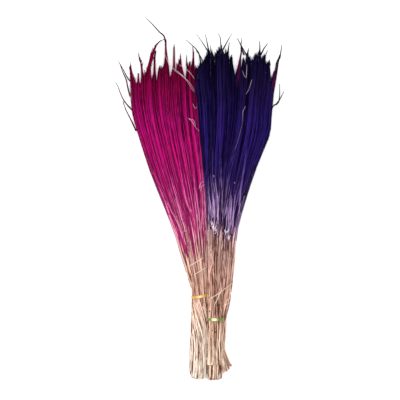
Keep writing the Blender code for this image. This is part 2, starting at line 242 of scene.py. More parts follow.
VIOLET_FRONT = dict(
    sections=(
        (-238.0, 20.9, 32.9, 12.0, 11.0), (-208.0, 21.5, 34.9, 11.6, 11.0),
        (-173.0, 22.6, 36.0, 11.5, 11.0), (-163.0, 22.6, 35.1, 11.5, 11.0),
        (-83.0, 21.9, 34.5, 11.2, 11.5), (-32.0, 22.8, 35.4, 11.5, 12.0),
        (4.0, 23.8, 38.1, 14.4, 13.0), (48.0, 24.4, 39.8, 19.3, 14.0),
        (80.0, 26.2, 43.1, 24.5, 15.0), (143.0, 28.3, 44.9, 31.8, 16.0),
        (172.0, 26.5, 42.0, 33.8, 15.5), (194.0, 26.0, 40.4, 34.4, 15.0)),
    dye_line=-32.0, root_reach=(-5.0, 34.0), root_tilt=(0.0, 0.0),
    tie=-168.0, tie_slant=0.0, stalks=105, twist=(14.0, -42.0), ragged=1.2,
    corner=0.0, raised=4.0, splay=0.0, over_tie=None, sheaths=9, fan_stems=110, tufts=90,
    strands=(9,), scraps=(20.5, -38.0, 3.2, 8.0), tones=(0.03, 0.28, 0.19), spread=2.1,
    clumped=0.4, lanes=0.38, straw_tone=0.45, bleached=0.28,
    skyline=(
        (-8, 180), (-5.5, 197), (-3, 192), (0.5, 198), (4, 200), (9, 211), (13.5, 220.5),
        (16, 214.5), (17.5, 218), (21, 209.5), (26, 219.5), (32, 224), (36, 213), (38, 219),
        (39.5, 216), (41.5, 219.5), (43.5, 208), (47, 211), (48.5, 198.5), (51.5, 187),
        (56.5, 206), (61, 221), (60, 204.5), (60.5, 180)),
    whiskers=(
        ((14, 216), (3, 233), (-5, 244)), ((13, 220), (10, 236), (8, 244)),
        ((31, 222), (30, 238), (26, 246)), ((33, 220), (41, 235), (47, 245)),
        ((41, 216), (42, 225), (43, 232)), ((2, 200), (-1, 216), (-4, 221), (-20, 236)),
        ((60, 216), (60, 227), (61, 239)), ((17, 214), (16, 228)), ((6, 200), (1, 212), (-5, 220))),
    streaks=(((31.6, 29.3, 30.9, 32.5), (16.8, 69.6, 122.0, 155.0), 2.4, 0.75),),
    stain=((54.0, 57.5, 60.0), (165.0, 200.0, 221.0), 1.9),
    pale_and_shadow_bundles=(
        (0.86, 4, 1.0, ((29.3, 69.6), (30.5, 40.9), (31.6, 16.8), (32.8, -2.5), (33.4, -29))),
        (0.92, 11, 3.9, ((19.6, 45.7), (20.7, 24.1), (23.2, 4.8), (23.4, -16.8), (22.6, -36.0))),
        (0.92, 3, 1.2, ((12.3, 19.1), (16, -2.5), (17.3, -24.1))),
        (0.5, 1, 0.3, ((10, 58.9), (11.2, 51.6), (10.9, 33.4))),
        # The next three bundles are dark strands laid as painted shadow: along the left and the right
        # edge of the straws below the dye, and in a gap at the foot
        (-0.5, 2, 0.3, ((11.9, -36), (11.8, -60), (12.0, -96))),
        (-0.3, 2, 0.4, ((33.2, -28), (32.6, -60), (32.2, -98))),
        (-0.6, 3, 0.6, ((16.6, -188), (16.8, -212), (16.9, -231))),
        (1.0, 3, 0.9, ((13.6, -192), (14.0, -212), (14.0, -232))),
        (1.0, 2, 0.7, ((19.4, -184), (19.7, -210), (20.0, -232))),
        (0.95, 2, 0.6, ((28.0, -180), (28.6, -205), (29.6, -231)))),
    trails=(),
)
VIOLET_BACK = dict(
    sections=(
        (-258.0, 22.2, 10.5, 11.3, 11.0), (-227.0, 24.2, 10.7, 11.9, 11.2),
        (-193.0, 25.3, 12.3, 11.4, 11.0), (-183.0, 25.3, 12.3, 11.4, 11.0),
        (-141.0, 30.5, 11.5, 14.4, 12.0), (-83.0, 34.9, 12.3, 16.5, 12.8),
        (-45.0, 37.3, 12.9, 17.5, 13.4), (4.0, 45.7, 15.0, 21.8, 15.5),
        (62.0, 58.0, 16.7, 29.0, 17.2), (106.0, 67.4, 17.5, 36.7, 18.0),
        (141.0, 70.3, 17.5, 36.3, 18.0), (170.0, 73.0, 17.0, 36.8, 17.5),
        (194.0, 75.0, 16.5, 37.6, 17.0)),
    dye_line=-45.0, root_reach=(-7.0, 36.0), root_tilt=(10.0, 0.0),
    tie=-188.0, tie_slant=0.0, stalks=105, twist=(-20.0, -42.0), ragged=2.5,
    corner=0.0, raised=0.0, splay=16.5, over_tie=(0.0, 70.0), sheaths=11, fan_stems=110,
    tufts=98, strands=(9,), scraps=(40.5, -49.5, 3.2, 8.5), tones=(-0.05, 0.28, 0.18),
    spread=2.1, clumped=0.4, lanes=0.38, straw_tone=0.5, bleached=0.34,
    skyline=(
        (37, 175), (44, 188), (49, 178), (54, 184), (57, 178), (60, 196), (63.5, 210.5),
        (66, 207), (69, 218.5), (75, 207), (81.5, 215), (85, 217.5), (88, 221.5), (91, 210.5),
        (95, 215.5), (97.5, 203.5), (102.5, 205.5), (104.5, 180), (109, 191.5), (112, 204.5),
        (117.5, 215), (115, 199), (113, 181), (110, 167)),
    whiskers=(
        ((65, 216), (59, 233), (55, 240)), ((69, 214), (71, 222), (72, 226)),
        ((88, 217), (88, 229), (87, 237)), ((89, 216), (95, 227), (100, 233)),
        ((95, 211), (98, 220), (100, 223)), ((117, 211), (119, 223), (120, 231)),
        ((104, 132), (106, 139), (110, 144), (115, 146), (117, 160), (117, 174)),
        ((111, 143), (118, 153), (123, 163)), ((69, 214), (64, 224), (60, 231))),
    streaks=(((59.3, 62.9, 67.7, 72.6, 76.0), (16.8, 43.2, 84.1, 122.0, 155.0), 2.4, 0.75),),
    stain=((107.0, 110.5, 114.0), (163.0, 195.0, 215.0), 1.9),
    pale_and_shadow_bundles=(
        (0.92, 5, 1.3, ((67.7, 84.1), (62.9, 43.2), (59.3, 16.8), (58, -4.8), (55.7, -28.9))),
        (0.78, 3, 1.0, ((54.4, 84.1), (43.6, 40.9), (38.9, 14.5), (36.4, -4.8), (35.6, -24.1))),
        (0.95, 13, 4.2, ((48.6, 24.1), (46.2, -4.8), (44.3, -35.0), (43.5, -49.0))),
        (0.92, 3, 1.0, ((41.2, -4.8), (38.9, -21.6), (37.7, -36.1))),
        (-0.3, 9, 1.7, ((78.5, 45.0), (71.2, 21.6), (63.4, -4.8), (57.2, -27.0))),
        # This bundle and the last one are dark strands laid as painted shadow in gaps between the
        # straws at the foot
        (-0.6, 3, 0.6, ((12.6, -232), (12.4, -244), (12.2, -256))),
        (1.0, 3, 0.7, ((15.2, -230), (15.2, -244), (15.2, -256))),
        (0.95, 2, 0.6, ((26.6, -230), (26.6, -244), (26.6, -256))),
        (-0.5, 2, 0.5, ((32.2, -232), (32.0, -244), (31.8, -255)))),
    trails=(),
)

# Loose strands: the bunch that they lie on, or "" for all of them; tone; x, y points
PALE_STRANDS = (
    ("magenta", 0.8, ((-50, 215), (-43, 199), (-21, 180), (-14, 170), (-8, 160))),
    ("magenta", 0.55, ((-38, 196), (-22, 182), (-12, 171), (-7, 160.5))),
    ("magenta", 0.9, ((-29, 200), (-16, 191), (-6, 178.5))),
    ("magenta", 0.6, ((-10, 144), (-6, 137), (-4, 140))),
    ("magenta", 0.8, ((-16, 123), (-10, 116.5), (-6, 110), (1, 103.5))),
    ("magenta", 0.6, ((-15.5, 122), (-9, 120), (-5.5, 111))),
    ("magenta", 0.8, ((9, 32), (2, 29), (-1, 20))),
    ("magenta", 0.6, ((9, 27), (4, 25), (1, 17))),
    ("violet_back", 0.62, ((68.5, 200.6), (67.7, 181))),
    ("violet_back", 0.5, ((61.8, 192), (64, 186), (67, 181))),
    ("violet_back", 0.12, ((59, 196), (60, 152))),
    ("violet_back", 0.5, ((76, 179), (71, 164), (66.8, 157))),
    ("violet_back", 0.45, ((66.8, 140.5), (62.6, 130.5), (62.6, 117))),
    ("violet_back", 0.15, ((62.6, 117), (56, 92), (50, 73), (44, 52))),
    ("magenta", 1.0, ((-19, -94), (-5, -86), (7, -79))),
    ("magenta", 1.0, ((-8.5, -104.5), (11, -93))),
    ("", 1.0, ((13, -139.5), (31, -128), (50, -115.5))),
    ("violet_front", 1.0, ((21.5, -147), (33.5, -121))),
    ("violet_back", 1.0, ((34, -152), (45, -136))),
    ("violet_back", 1.0, ((36, -149), (44, -145))),
    ("violet_front", 0.8, ((20.6, 40.0), (20.6, 37.6))),
    ("violet_back", 0.8, ((50.9, 30.6), (50.9, 28.0))),
)


def linear(code):
    """Linear colour of an sRGB hex value."""
    values = [int(code[i:i + 2], 16) / 255 for i in (1, 3, 5)]
    return tuple(v / 12.92 if v <= 0.04045 else ((v + 0.055) / 1.055) ** 2.4 for v in values)


def smooth(xs, ys, at):
    """A cubic curve through the points that doesn't overshoot between them."""
    gap = np.diff(xs)
    slope = np.diff(ys) / gap
    turn = slope[:-1] * slope[1:] > 0
    total = np.where(turn, slope[:-1] + slope[1:], 1.0)
    inner = np.where(turn, 2 * slope[:-1] * slope[1:] / total, 0.0)
    tangent = np.concatenate((slope[:1], inner, slope[-1:]))
    at = np.clip(at, xs[0], xs[-1])
    i = np.clip(np.searchsorted(xs, at) - 1, 0, len(gap) - 1)
    t = (at - xs[i]) / gap[i]
    bend = tangent[i] * gap[i] * t * (1 - t) ** 2 - tangent[i + 1] * gap[i] * (1 - t) * t ** 2
    return ys[i] * (1 + 2 * t) * (1 - t) ** 2 + ys[i + 1] * (3 - 2 * t) * t ** 2 + bend


def ease(t):
    """Rises softly from 0 to 1 as t does, and stays level beyond."""
    t = np.clip(t, 0.0, 1.0)
    return t * t * (3 - 2 * t)


def along(y, span):
    """Place of a y in millimetres on the v of a map that runs over the span."""
    return (y - span[0]) / (span[1] - span[0])


def even_angles(number):
    """Angles that spread places evenly round a disc: each is a golden angle after the last."""
    return GOLDEN_ANGLE * np.arange(number)


def scatter(rng, number, radius, least=0.0):
    """Offsets of places in a disc, which leave the given share of its area free in the middle."""
    turn = rng.uniform(0.0, 2 * pi, number)
    away = radius * np.sqrt(rng.uniform(least, 1.0, number))
    return away * np.cos(turn), away * np.sin(turn)


def unit(vectors):
    """The vectors at length 1."""
    return vectors / np.maximum(np.linalg.norm(vectors, axis=2, keepdims=True), 1e-9)


class Bunch:
    """Oval sections of one tied bunch along y. A place in it is (u, v) in a unit disc."""

    def __init__(self, spec):
        self.spec = spec
        self.y, self.x, self.z, self.wide, self.high = np.array(spec["sections"]).T
        self.foot = float(self.y[0])
        self.top = float(self.y[-2])
        self.dye_line = spec["dye_line"]
        self.tie = spec["tie"]

    def twist(self, y):
        """Turn of the straws about the bunch's middle, all of which happens round the tie."""
        degrees, start = self.spec["twist"]
        return radians(degrees) * ease((y - (self.tie + start)) / TWIST_LENGTH)

    def at(self, y):
        """Centre x, centre z, half width and half height of the section at each y."""
        y = np.asarray(y, float)
        return [smooth(self.y, c, y) for c in (self.x, self.z, self.wide, self.high)]

    def place(self, u, v, y, margin):
        """x and z of the place (u, v) in sections that are smaller by the margin all round."""
        x, z, wide, high = self.at(y)
        return x + (wide - margin) * u, z + (high - margin) * v

    def hold(self, centres, margin):
        """Draws points that stray out of the bunch's sections back onto their rim."""
        x, z, wide, high = self.at(centres[..., 1])
        across = (centres[..., 0] - x) / (wide - margin)
        up = (centres[..., 2] - z) / (high - margin)
        out = np.maximum(np.hypot(across, up), 1.0)
        centres[..., 0] = x + across / out * (wide - margin)
        centres[..., 2] = z + up / out * (high - margin)
        return centres

    def crown(self, x, y):
        """Height of the bunch's upper side at (x, y), or 0 beside it."""
        centre, z, wide, high = self.at(y)
        inside = 1.0 - ((x - centre) / wide) ** 2
        return np.where(inside > 0, z + high * np.sqrt(np.clip(inside, 0, None)), 0.0)


BUNCHES = {"magenta": Bunch(MAGENTA), "violet_front": Bunch(VIOLET_FRONT),
           "violet_back": Bunch(VIOLET_BACK)}


def tube_corners(count, rings, sides):
    """Corners of the tubes' walls and then of their two ends, and where each face starts."""
    first = np.arange(count * rings * sides).reshape(count, rings, sides)
    after = np.roll(first, -1, axis=2)
    walls = np.stack((first[:, :-1], first[:, 1:], after[:, 1:], after[:, :-1]), axis=-1)
    corners = np.concatenate((walls.ravel(), first[:, 0].ravel(), first[:, -1, ::-1].ravel()))
    wall_count = count * (rings - 1) * sides
    starts = np.concatenate((np.arange(wall_count) * 4,
                             wall_count * 4 + np.arange(2 * count) * sides))
    return corners, starts


def tube_map(heights, strips, marks, sides, cut):
    """Places on the map of the corners in tube_corners.

    Each tube has a strip of the map across, and its y is the map's v, so that a colour that
    follows the strip and v bakes as it renders. The ends of cut tubes have a strip of their own.
    """
    count, rings = heights.shape
    strip = np.broadcast_to(np.reshape(strips, (-1, 1)), (count, rings - 1)).astype(float)
    v = along(heights, MAP_SPAN)
    v_low, v_high = v[:, :-1], v[:, 1:]
    if marks is not None:
        marked = marks >= 0
        strip = np.where(marked, marks, strip)
        v_low = np.where(marked, MARK_V - MARK_REACH, v_low)
        v_high = np.where(marked, MARK_V + MARK_REACH, v_high)
    steps = np.arange(sides) / sides
    u_first = (strip[..., None] + STRIP_INSET + STRIP_WIDTH * steps) / STRIPS
    u_after = (strip[..., None] + STRIP_INSET + STRIP_WIDTH * (steps + 1 / sides)) / STRIPS
    low = np.broadcast_to(v_low[..., None], u_first.shape)
    high = np.broadcast_to(v_high[..., None], u_first.shape)
    walls = np.stack((u_first, low, u_first, high, u_after, high, u_after, low), axis=-1)
    end_strip = np.concatenate((strip[:, 0], strip[:, -1]))
    end_v = np.concatenate((v[:, 0], v[:, -1]))
    if cut:
        end_strip = np.full(2 * count, float(CUT_STRIP))
        end_v = np.full(2 * count, MARK_V)
    turn = 2 * pi * np.arange(sides) / sides
    ends = np.stack(((end_strip[:, None] + 0.5 + END_ACROSS * np.cos(turn)) / STRIPS,
                     np.clip(end_v[:, None] + END_ALONG * np.sin(turn), 0.0, 1.0)), axis=-1)
    return np.concatenate((walls.ravel(), ends.ravel()))


def tube_mesh(name, centres, radii, sides, strips, turn=0.0, tangents=None, marks=None,
              flat=1.0, facing=(0.0, 0.0, 1.0), cut=False):
    """One mesh of closed tubes that lie on or above the card.

    centres is (tube, ring, xyz). strips has the map's strip of each tube, and marks the strip of
    each stretch between two rings, or -1 where it has none of its own. flat squashes the tubes
    in the direction that they face, and cut says that their ends are cut and not grown.
    """
    count, rings = radii.shape
    centres[..., 2] = np.maximum(centres[..., 2], radii)
    if tangents is None:
        tangents = np.gradient(centres, axis=1)
    side = unit(np.cross(tangents, facing))
    up = unit(np.cross(side, tangents))
    angle = 2 * pi * np.arange(sides) / sides + np.reshape(turn, (-1, 1, 1))
    reach = radii[:, :, None, None]
    verts = (centres[:, :, None] + reach * np.cos(angle)[..., None] * side[:, :, None]
             + flat * reach * np.sin(angle)[..., None] * up[:, :, None])
    corners, starts = tube_corners(count, rings, sides)
    mesh = bpy.data.meshes.new(name)
    mesh.vertices.add(count * rings * sides)
    mesh.vertices.foreach_set("co", (verts * MM).astype(np.float32).ravel())
    mesh.loops.add(len(corners))
    mesh.loops.foreach_set("vertex_index", corners.astype(np.int32))
    mesh.polygons.add(len(starts))
    mesh.polygons.foreach_set("loop_start", starts.astype(np.int32))
    mesh.update(calc_edges=True)
    layer = mesh.uv_layers.new(name=MAP_NAME)
    places = tube_map(centres[..., 1], strips, marks, sides, cut)
    layer.data.foreach_set("uv", places.astype(np.float32))
    mesh.shade_smooth()
    if mesh.validate():
        raise RuntimeError(name + " has faces that can't be used")
    return mesh


def fit_map(mesh, span, rise):
    """Spreads the map over the piece's own span of y, moved so that its dye starts at one v."""
    layer = mesh.uv_layers[MAP_NAME]
    places = np.empty(2 * len(mesh.loops), np.float32)
    layer.data.foreach_get("uv", places)
    height = MAP_SPAN[0] + places[1::2] * (MAP_SPAN[1] - MAP_SPAN[0]) + rise
    places[1::2] = np.clip(along(height, span), 0.0, 1.0)
    layer.data.foreach_set("uv", places)


def join_meshes(name, meshes, material, nodes, span=None, rise=0.0):
    """Makes one piece of the meshes, which rides on the body and stands for CAD nodes.

    span is the y over which its map runs. A ribbon has none, because its map runs round it.
    """
    parts = []
    for mesh in meshes:
        mesh.materials.append(material)
        part = bpy.data.objects.new(name, mesh)
        bpy.context.scene.collection.objects.link(part)
        parts.append(part)
    bpy.ops.object.select_all(action="DESELECT")
    for part in parts:
        part.select_set(True)
    bpy.context.view_layer.objects.active = parts[0]
    if len(parts) > 1:
        bpy.ops.object.join()
    piece = bpy.context.view_layer.objects.active
    piece.name = name
    if span:
        fit_map(piece.data, span, rise)
    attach(piece, BODY)
    if nodes:
        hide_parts(*nodes)


def strip_of(tone, rng):
    """A strip of the map for each tone from 0, dark, to 1, light, with a random variant."""
    level = np.clip(np.round(tone * (TONES - 1)), 0, TONES - 1)
    return level * VARIANTS + rng.integers(0, VARIANTS, level.shape)


def mixed_tones(rng, count, dark, light, middle=0.47):
    """Tones of strands side by side: most are middling, some bleached, and some deep, which are partly
    darker fibres and partly painted shadow of the gaps between them.
    """
    tone = rng.normal(middle, 0.15, count)
    kind = rng.uniform(size=count)
    tone = np.where(kind < dark, rng.uniform(*DEEP_TONES, count), tone)
    return np.where(kind > 1.0 - light, rng.uniform(*PALE_TONES, count), tone)


class Lock:
    """One lock of a head's top edge: it rises from two notches and narrows to a peak."""

    def __init__(self, bunch, outline):
        points = np.array(outline, float)
        peak = int(np.argmax(points[:, 1]))
        self.bunch = bunch
        self.sides = (points[:peak + 1], points[peak:][::-1])
        self.share = [self.fan_place(side[0]) for side in self.sides]
        low = min(side[0, 1] for side in self.sides)
        self.heights = np.linspace(low, points[peak, 1], 60)
        fullness = np.clip(self.fullness(self.heights), 0.0, 1.0)
        self.narrowing = np.minimum.accumulate(fullness)

    def fan_place(self, notch):
        """Place of a notch across the bunch, from -1 at its left side to 1 at its right."""
        x, _, wide, _ = self.bunch.at(notch[1])
        return float((notch[0] - x) / wide)

    def fan(self, y):
        """The two lines that run on from the notches down the bunch."""
        x, _, wide, _ = self.bunch.at(y)
        return [x + wide * share for share in self.share]

    def edges(self, y):
        """The lock's two sides, round at the notches and blunt at the peak."""
        found = []
        for side, fan in zip(self.sides, self.fan(y)):
            (notch_x, notch_y), (next_x, next_y) = side[:2]
            rise = np.clip((y - notch_y) / max(next_y - notch_y, 0.1), 0.0, 1.0)
            rounded = notch_x + (next_x - notch_x) * np.sqrt(rise)
            straight = np.interp(y, side[:, 1], side[:, 0])
            edge = np.where(rise < 1.0, rounded, straight)
            found.append(np.where(y < notch_y, fan, edge))
        middle = (found[0] + found[1]) / 2
        half = np.maximum((found[1] - found[0]) / 2, BLUNT_TIP)
        return [middle - half, middle + half]

    def fullness(self, y):
        """Width of the lock against the width that the fan would give it."""
        left, right = self.edges(y)
        fan_left, fan_right = self.fan(y)
        return (right - left) / (fan_right - fan_left)

    def end(self, chance):
        """Where a bristle ends, so that the lock stays as dense while it narrows."""
        return np.interp(-chance, -self.narrowing, self.heights)

    def bend(self, x, y):
        """Moves x from its place in the fan to the same place between the lock's edges."""
        fan_left, fan_right = self.fan(y)
        left, right = self.edges(y)
        part = np.clip((x - fan_left) / (fan_right - fan_left), 0.03, 0.97)
        return left + part * (right - left)


def locks_of(bunch):
    """The locks of a bunch's skyline, which is split at its notches."""
    skyline = bunch.spec["skyline"]
    heights = [point[1] for point in skyline]
    inner = [i for i in range(1, len(skyline) - 1)
             if heights[i] < heights[i - 1] and heights[i] <= heights[i + 1]]
    ends = [0, *inner, len(skyline) - 1]
    return [Lock(bunch, skyline[a:b + 1]) for a, b in zip(ends, ends[1:])]


def bristle_ends(locks, member, ending, top_wide, rng):
    """The y where each bristle ends: in its lock's outline, with dips, and some of them lower.

    Narrow locks have no dips: those of a lock grow as it gets from 6 to 16 mm wide.
    """
    count = len(member)
    end = np.empty(count)
    chance = rng.uniform(0.0, 1.0, count)
    for k, lock in enumerate(locks):
        own = member == k
        end[own] = lock.end(chance[own])
    short = rng.uniform(size=count) < SHORT_SHARE
    places = np.cumsum(rng.uniform(*DIP_GAPS, DIPS)) + DIPS_FROM
    depth = np.where(np.arange(DIPS) % 2, rng.uniform(2.0, 5.0, DIPS), rng.uniform(-1.0, 1.0, DIPS))
    width = np.diff([lock.share for lock in locks], axis=1)[:, 0] * top_wide
    broad = np.clip((width - 6.0) / 10.0, 0.0, 1.0)
    end = end - broad[member] * np.interp(ending, places, depth)
    return end - np.where(short, rng.uniform(0.0, SHORT_BY, count), rng.exponential(1.4, count))


def bristle_tones(spec, strand, tuft, flyaway, waist, across, rng):
    """Tones of the bristles: they differ by strand, by tuft, one by one and across the head."""
    count = len(strand)
    middling, dark, light = spec["tones"]
    of_strand = mixed_tones(rng, strand[-1] + 1, dark, light, middling)[strand]
    of_tuft = mixed_tones(rng, tuft[-1] + 1, dark, light, middling)[tuft]
    spread = spec["spread"]
    clumped = spec["clumped"]
    tone = (spread * of_strand + clumped * of_tuft + (1.0 - clumped - spread) * middling
            + 0.14 * rng.normal(size=count) + 0.4 * flyaway)
    for streak_x, streak_y, width, gain in spec["streaks"]:
        centre = np.interp(waist[:, 1], streak_y, streak_x)
        tone += gain * np.exp(-((waist[:, 0] - centre) / width) ** 2)
    lanes = rng.normal(0.0, spec["lanes"], LANES)
    tone += np.interp(across, np.linspace(-1.0, 1.0, LANES), lanes)
    return tone


def stain_marks(stain, centres, on_top, rng):
    """Marks the stretches of bristle on the head's upper side that lie in its stain."""
    stain_x, stain_y, width = stain
    apart = centres[:, 1:, 0] - np.interp(centres[:, 1:, 1], stain_y, stain_x)
    stained = (np.abs(apart) < width) & (centres[:, :-1, 1] > stain_y[0]) & on_top
    return np.where(stained & (rng.uniform(size=(len(centres), 1)) < 0.6), STAIN_STRIP, -1)


def head_bristles(name, bunch, sizes, strands, rng):
    """Fine bristles in strands and strands in tufts, which fan out and end in the skyline."""
    spec = bunch.spec
    tufts = spec["tufts"]
    rho = np.sqrt(rng.uniform(HOLLOW_CORE ** 2, 1.0, tufts))
    phi = even_angles(tufts) + rng.normal(0.0, 0.12, tufts)
    tuft = np.repeat(np.arange(tufts), strands * BRISTLES)
    strand = np.repeat(np.arange(tufts * strands), BRISTLES)
    count = len(tuft)
    u, v = (rho * np.cos(phi))[tuft], (rho * np.sin(phi))[tuft]
    strand_x, strand_z = scatter(rng, tufts * strands, TUFT_RADIUS, least=0.05)
    fine_x, fine_z = scatter(rng, count, STRAND_RADIUS)
    aside = strand_x[strand] + fine_x
    above = strand_z[strand] + fine_z
    drift = (rng.normal(0.0, STRAND_DRIFT, tufts * strands)[strand]
             + rng.normal(0.0, BRISTLE_DRIFT, count))
    flyaway = rng.uniform(size=count) < FLYAWAY_SHARE
    drift = np.where(flyaway, 2.2 * drift, drift)
    out = np.where(flyaway, 1.0 / rho[tuft], 1.0)

    # Each bristle belongs to the lock that it would come up under, and ends in its outline
    locks = locks_of(bunch)
    top_wide = float(bunch.at(bunch.top)[2])
    borders = [lock.share[0] for lock in locks[1:]]
    ending = u * top_wide + aside + 1.5 * drift
    member = np.searchsorted(borders, ending / top_wide)
    end = bristle_ends(locks, member, ending, top_wide, rng)
    tilt, bow = spec["root_tilt"]
    root = spec["dye_line"] + rng.uniform(*spec["root_reach"], tufts * strands)[strand]
    root = root + rng.uniform(-8.0, 8.0, count) + tilt * u + bow * np.abs(u)

    # Tufts open as they rise, and the locks draw their bristles together towards their peaks
    rings = 9
    t = 1.0 - (1.0 - np.linspace(0.0, 1.0, rings)) ** 1.6
    y = root[:, None] + (end - root)[:, None] * t
    opened = 0.32 + 0.68 * ease((y - spec["dye_line"]) / 150.0)
    x, z = bunch.place((u * out)[:, None], (v * out)[:, None], y, margin=1.0)
    x += aside[:, None] * opened + drift[:, None] * (y - DRIFT_FROM) / DRIFT_OVER
    z += above[:, None] * opened
    centres = bunch.hold(np.stack((x, y, z), axis=-1), margin=0.5)
    middle = bunch.at(y)[1]
    for k, lock in enumerate(locks):
        own = member == k
        centres[own, :, 0] = lock.bend(centres[own, :, 0], y[own])
        keep = np.interp(y[own], lock.heights, 0.3 + 0.7 * lock.narrowing)
        centres[own, :, 2] = middle[own] + keep * (centres[own, :, 2] - middle[own])
    thick = sizes.bristle_diameter / MM / 2 * rng.uniform(0.75, 1.35, count)
    thick = np.where(flyaway, 0.8 * thick, thick)[:, None]
    radii = thick * (0.7 + 0.3 * np.sin(pi * np.clip(t * 1.2, 0, 1))) * (1 - 0.7 * t ** 8)

    waist = centres[:, rings // 2]
    tone = bristle_tones(spec, strand, tuft, flyaway, waist, ending / top_wide, rng)
    marks = None
    if spec["stain"]:
        marks = stain_marks(spec["stain"], centres, v[:, None] > 0.0, rng)
    return tube_mesh(name, centres, radii, sides=3, strips=strip_of(tone, rng),
                     turn=rng.uniform(0.0, 2 * pi, count), marks=marks)


def route(points, heights, rings):
    """A smooth path through the given points, evenly spaced along it."""
    points = np.column_stack((np.array(points, float), heights))
    along_it = np.concatenate(([0.0], np.cumsum(np.hypot(*np.diff(points[:, :2], axis=0).T))))
    at = np.linspace(0.0, along_it[-1], rings)
    if len(points) == 2:
        return np.stack([np.interp(at, along_it, c) for c in points.T], axis=-1)
    return np.stack([smooth(along_it, c, at) for c in points.T], axis=-1)


def laid_strands(name, bunch, bundles, rng, thick):
    """Bundles of strands that lie on the bunch's upper side, each along its own line."""
    rings = 14
    run = np.linspace(-1, 1, rings)
    paths, tones = [], []
    for tone, number, spread, points in bundles:
        for k in range(number):
            path = route(points, np.zeros(len(points)), rings)
            early, late = rng.uniform(0.0, (0.5, 0.2)) * (k > 0)
            at = np.linspace(early, 1.0 - late, rings) * (rings - 1)
            path = np.stack([np.interp(at, np.arange(rings), c) for c in path.T], axis=-1)
            path[:, 0] += rng.uniform(-spread, spread) + rng.normal(0.0, 0.3) * run
            path[:, 2] = bunch.crown(path[:, 0], path[:, 1]) + rng.uniform(-0.3, 0.3)
            path[[0, -1], 2] -= 1.0
            paths.append(path)
            tones.append(tone + rng.normal(0.0, 0.16))
    taper = 1 - 0.5 * run ** 4
    radii = rng.uniform(0.6, 1.2, len(paths))[:, None] * thick * taper
    return tube_mesh(name, np.array(paths), radii, sides=5, strips=strip_of(np.array(tones), rng))


def fan_strands(name, bunch, rng):
    """Thin stems on the head's upper side that follow its fan, some dyed deep and some bleached."""
    number = bunch.spec["fan_stems"]
    rings = 12
    t = np.linspace(0.0, 1.0, rings)
    root = bunch.dye_line + rng.uniform(-45.0, 35.0, number)
    y = root[:, None] + rng.uniform(25.0, 135.0, number)[:, None] * t
    start = rng.uniform(0.03 * pi, 0.97 * pi, number)[:, None]
    angle = start + rng.normal(0.0, 0.02, (number, 1)) * t
    x, z = bunch.place(np.cos(angle), np.sin(angle), y, margin=0.25)
    z[:, [0, -1]] -= 1.0
    radii = rng.uniform(0.3, 0.6, number)[:, None] * (1.0 - 0.5 * t ** 3)
    pale = rng.uniform(size=number) < bunch.spec["bleached"]
    tone = np.where(pale, rng.uniform(0.55, 1.0, number), rng.uniform(-0.4, 0.1, number))
    return tube_mesh(name, np.stack((x, y, z), axis=-1), radii, sides=5, strips=strip_of(tone, rng))


def whisker_tubes(name, bunch, rng):
    """Single long bristles that stand out of the head's outline."""
    rings = 12
    paths = []
    for points in bunch.spec["whiskers"]:
        root = bunch.z[-1] + rng.uniform(-3.0, 3.0)
        rise = np.linspace(0.0, rng.uniform(-2.0, 3.0), len(points))
        paths.append(route(points, root + rise, rings))
    radii = np.linspace(*WHISKER_RADII, rings) * rng.uniform(0.85, 1.15, len(paths))[:, None]
    tone = rng.uniform(-0.3, 0.15, len(paths))
    return tube_mesh(name, np.array(paths), radii, sides=5, strips=strip_of(tone, rng))


def tip_hairs(name, bunch, rng, number=100):
    """Short hairs that stick out all along the skyline, but not on its steep sides."""
    skyline = np.array(bunch.spec["skyline"], float)
    steps = np.concatenate(([0.0], np.cumsum(np.abs(np.diff(skyline[:, 0])))))
    at = np.linspace(steps[0], steps[-1], number) + rng.uniform(-0.6, 0.6, number)
    x, y = (np.interp(at, steps, column) for column in skyline.T)
    run = np.clip(np.searchsorted(steps, at) - 1, 0, len(steps) - 2)
    slope = np.diff(skyline[:, 1])[run] / np.maximum(np.diff(steps)[run], 0.1)
    keep = (y > bunch.top - 12.0) & (np.abs(slope) < 3.2)
    x, y, number = x[keep], y[keep], int(keep.sum())
    t = np.linspace(0.0, 1.0, 6)
    length = rng.uniform(5.0, 11.0, number)[:, None]
    lean = rng.normal(0.0, 0.16, number)[:, None] + rng.normal(0.0, 0.2, number)[:, None] * t
    middle = bunch.z[-1] + rng.uniform(-6.0, 6.0, number)[:, None]
    centres = np.stack((x[:, None] + length * (t - 0.5) * np.sin(lean),
                        y[:, None] + length * (t - 0.5) * np.cos(lean),
                        middle + length * 0.1 * t), axis=-1)
    radii = rng.uniform(0.5, 1.2, number)[:, None] * (1.0 - 0.8 * t)
    return tube_mesh(name, centres, radii, sides=4, strips=strip_of(rng.uniform(0.0, 0.5, number), rng))


def straw_rings(bunch, across, rings, rng):
    """The y of each straw's rings, from its cut end to where it is lost in the head.

    Four of them stand close together at each of two places, where the straw may have a knot.
    """
    spec = bunch.spec
    count = len(across)
    uneven = rng.uniform(0.0, spec["ragged"], count) ** 1.2 * (rng.uniform(size=count) < 0.6)
    cut = bunch.foot + uneven
    cut = cut + spec["raised"]
    cut = cut + spec["corner"] * np.clip((-across - 0.45) / 0.55, 0.0, 1.0) ** 1.7
    end = spec["dye_line"] + rng.uniform(-10.0, 90.0, count)
    y = cut[:, None] + (end - cut)[:, None] * np.linspace(0.0, 1.0, rings)
    each = np.arange(count)
    for _ in range(2):
        place = cut + (end - cut) * rng.uniform(0.08, 0.8, count)
        nearest = np.round((place - cut) / (end - cut) * (rings - 1))
        spot = np.clip(nearest, 2, rings - 4).astype(int)
        for step, shift in KNOT_RINGS:
            y[each, spot + step] = place + shift
    return np.sort(y, axis=1)


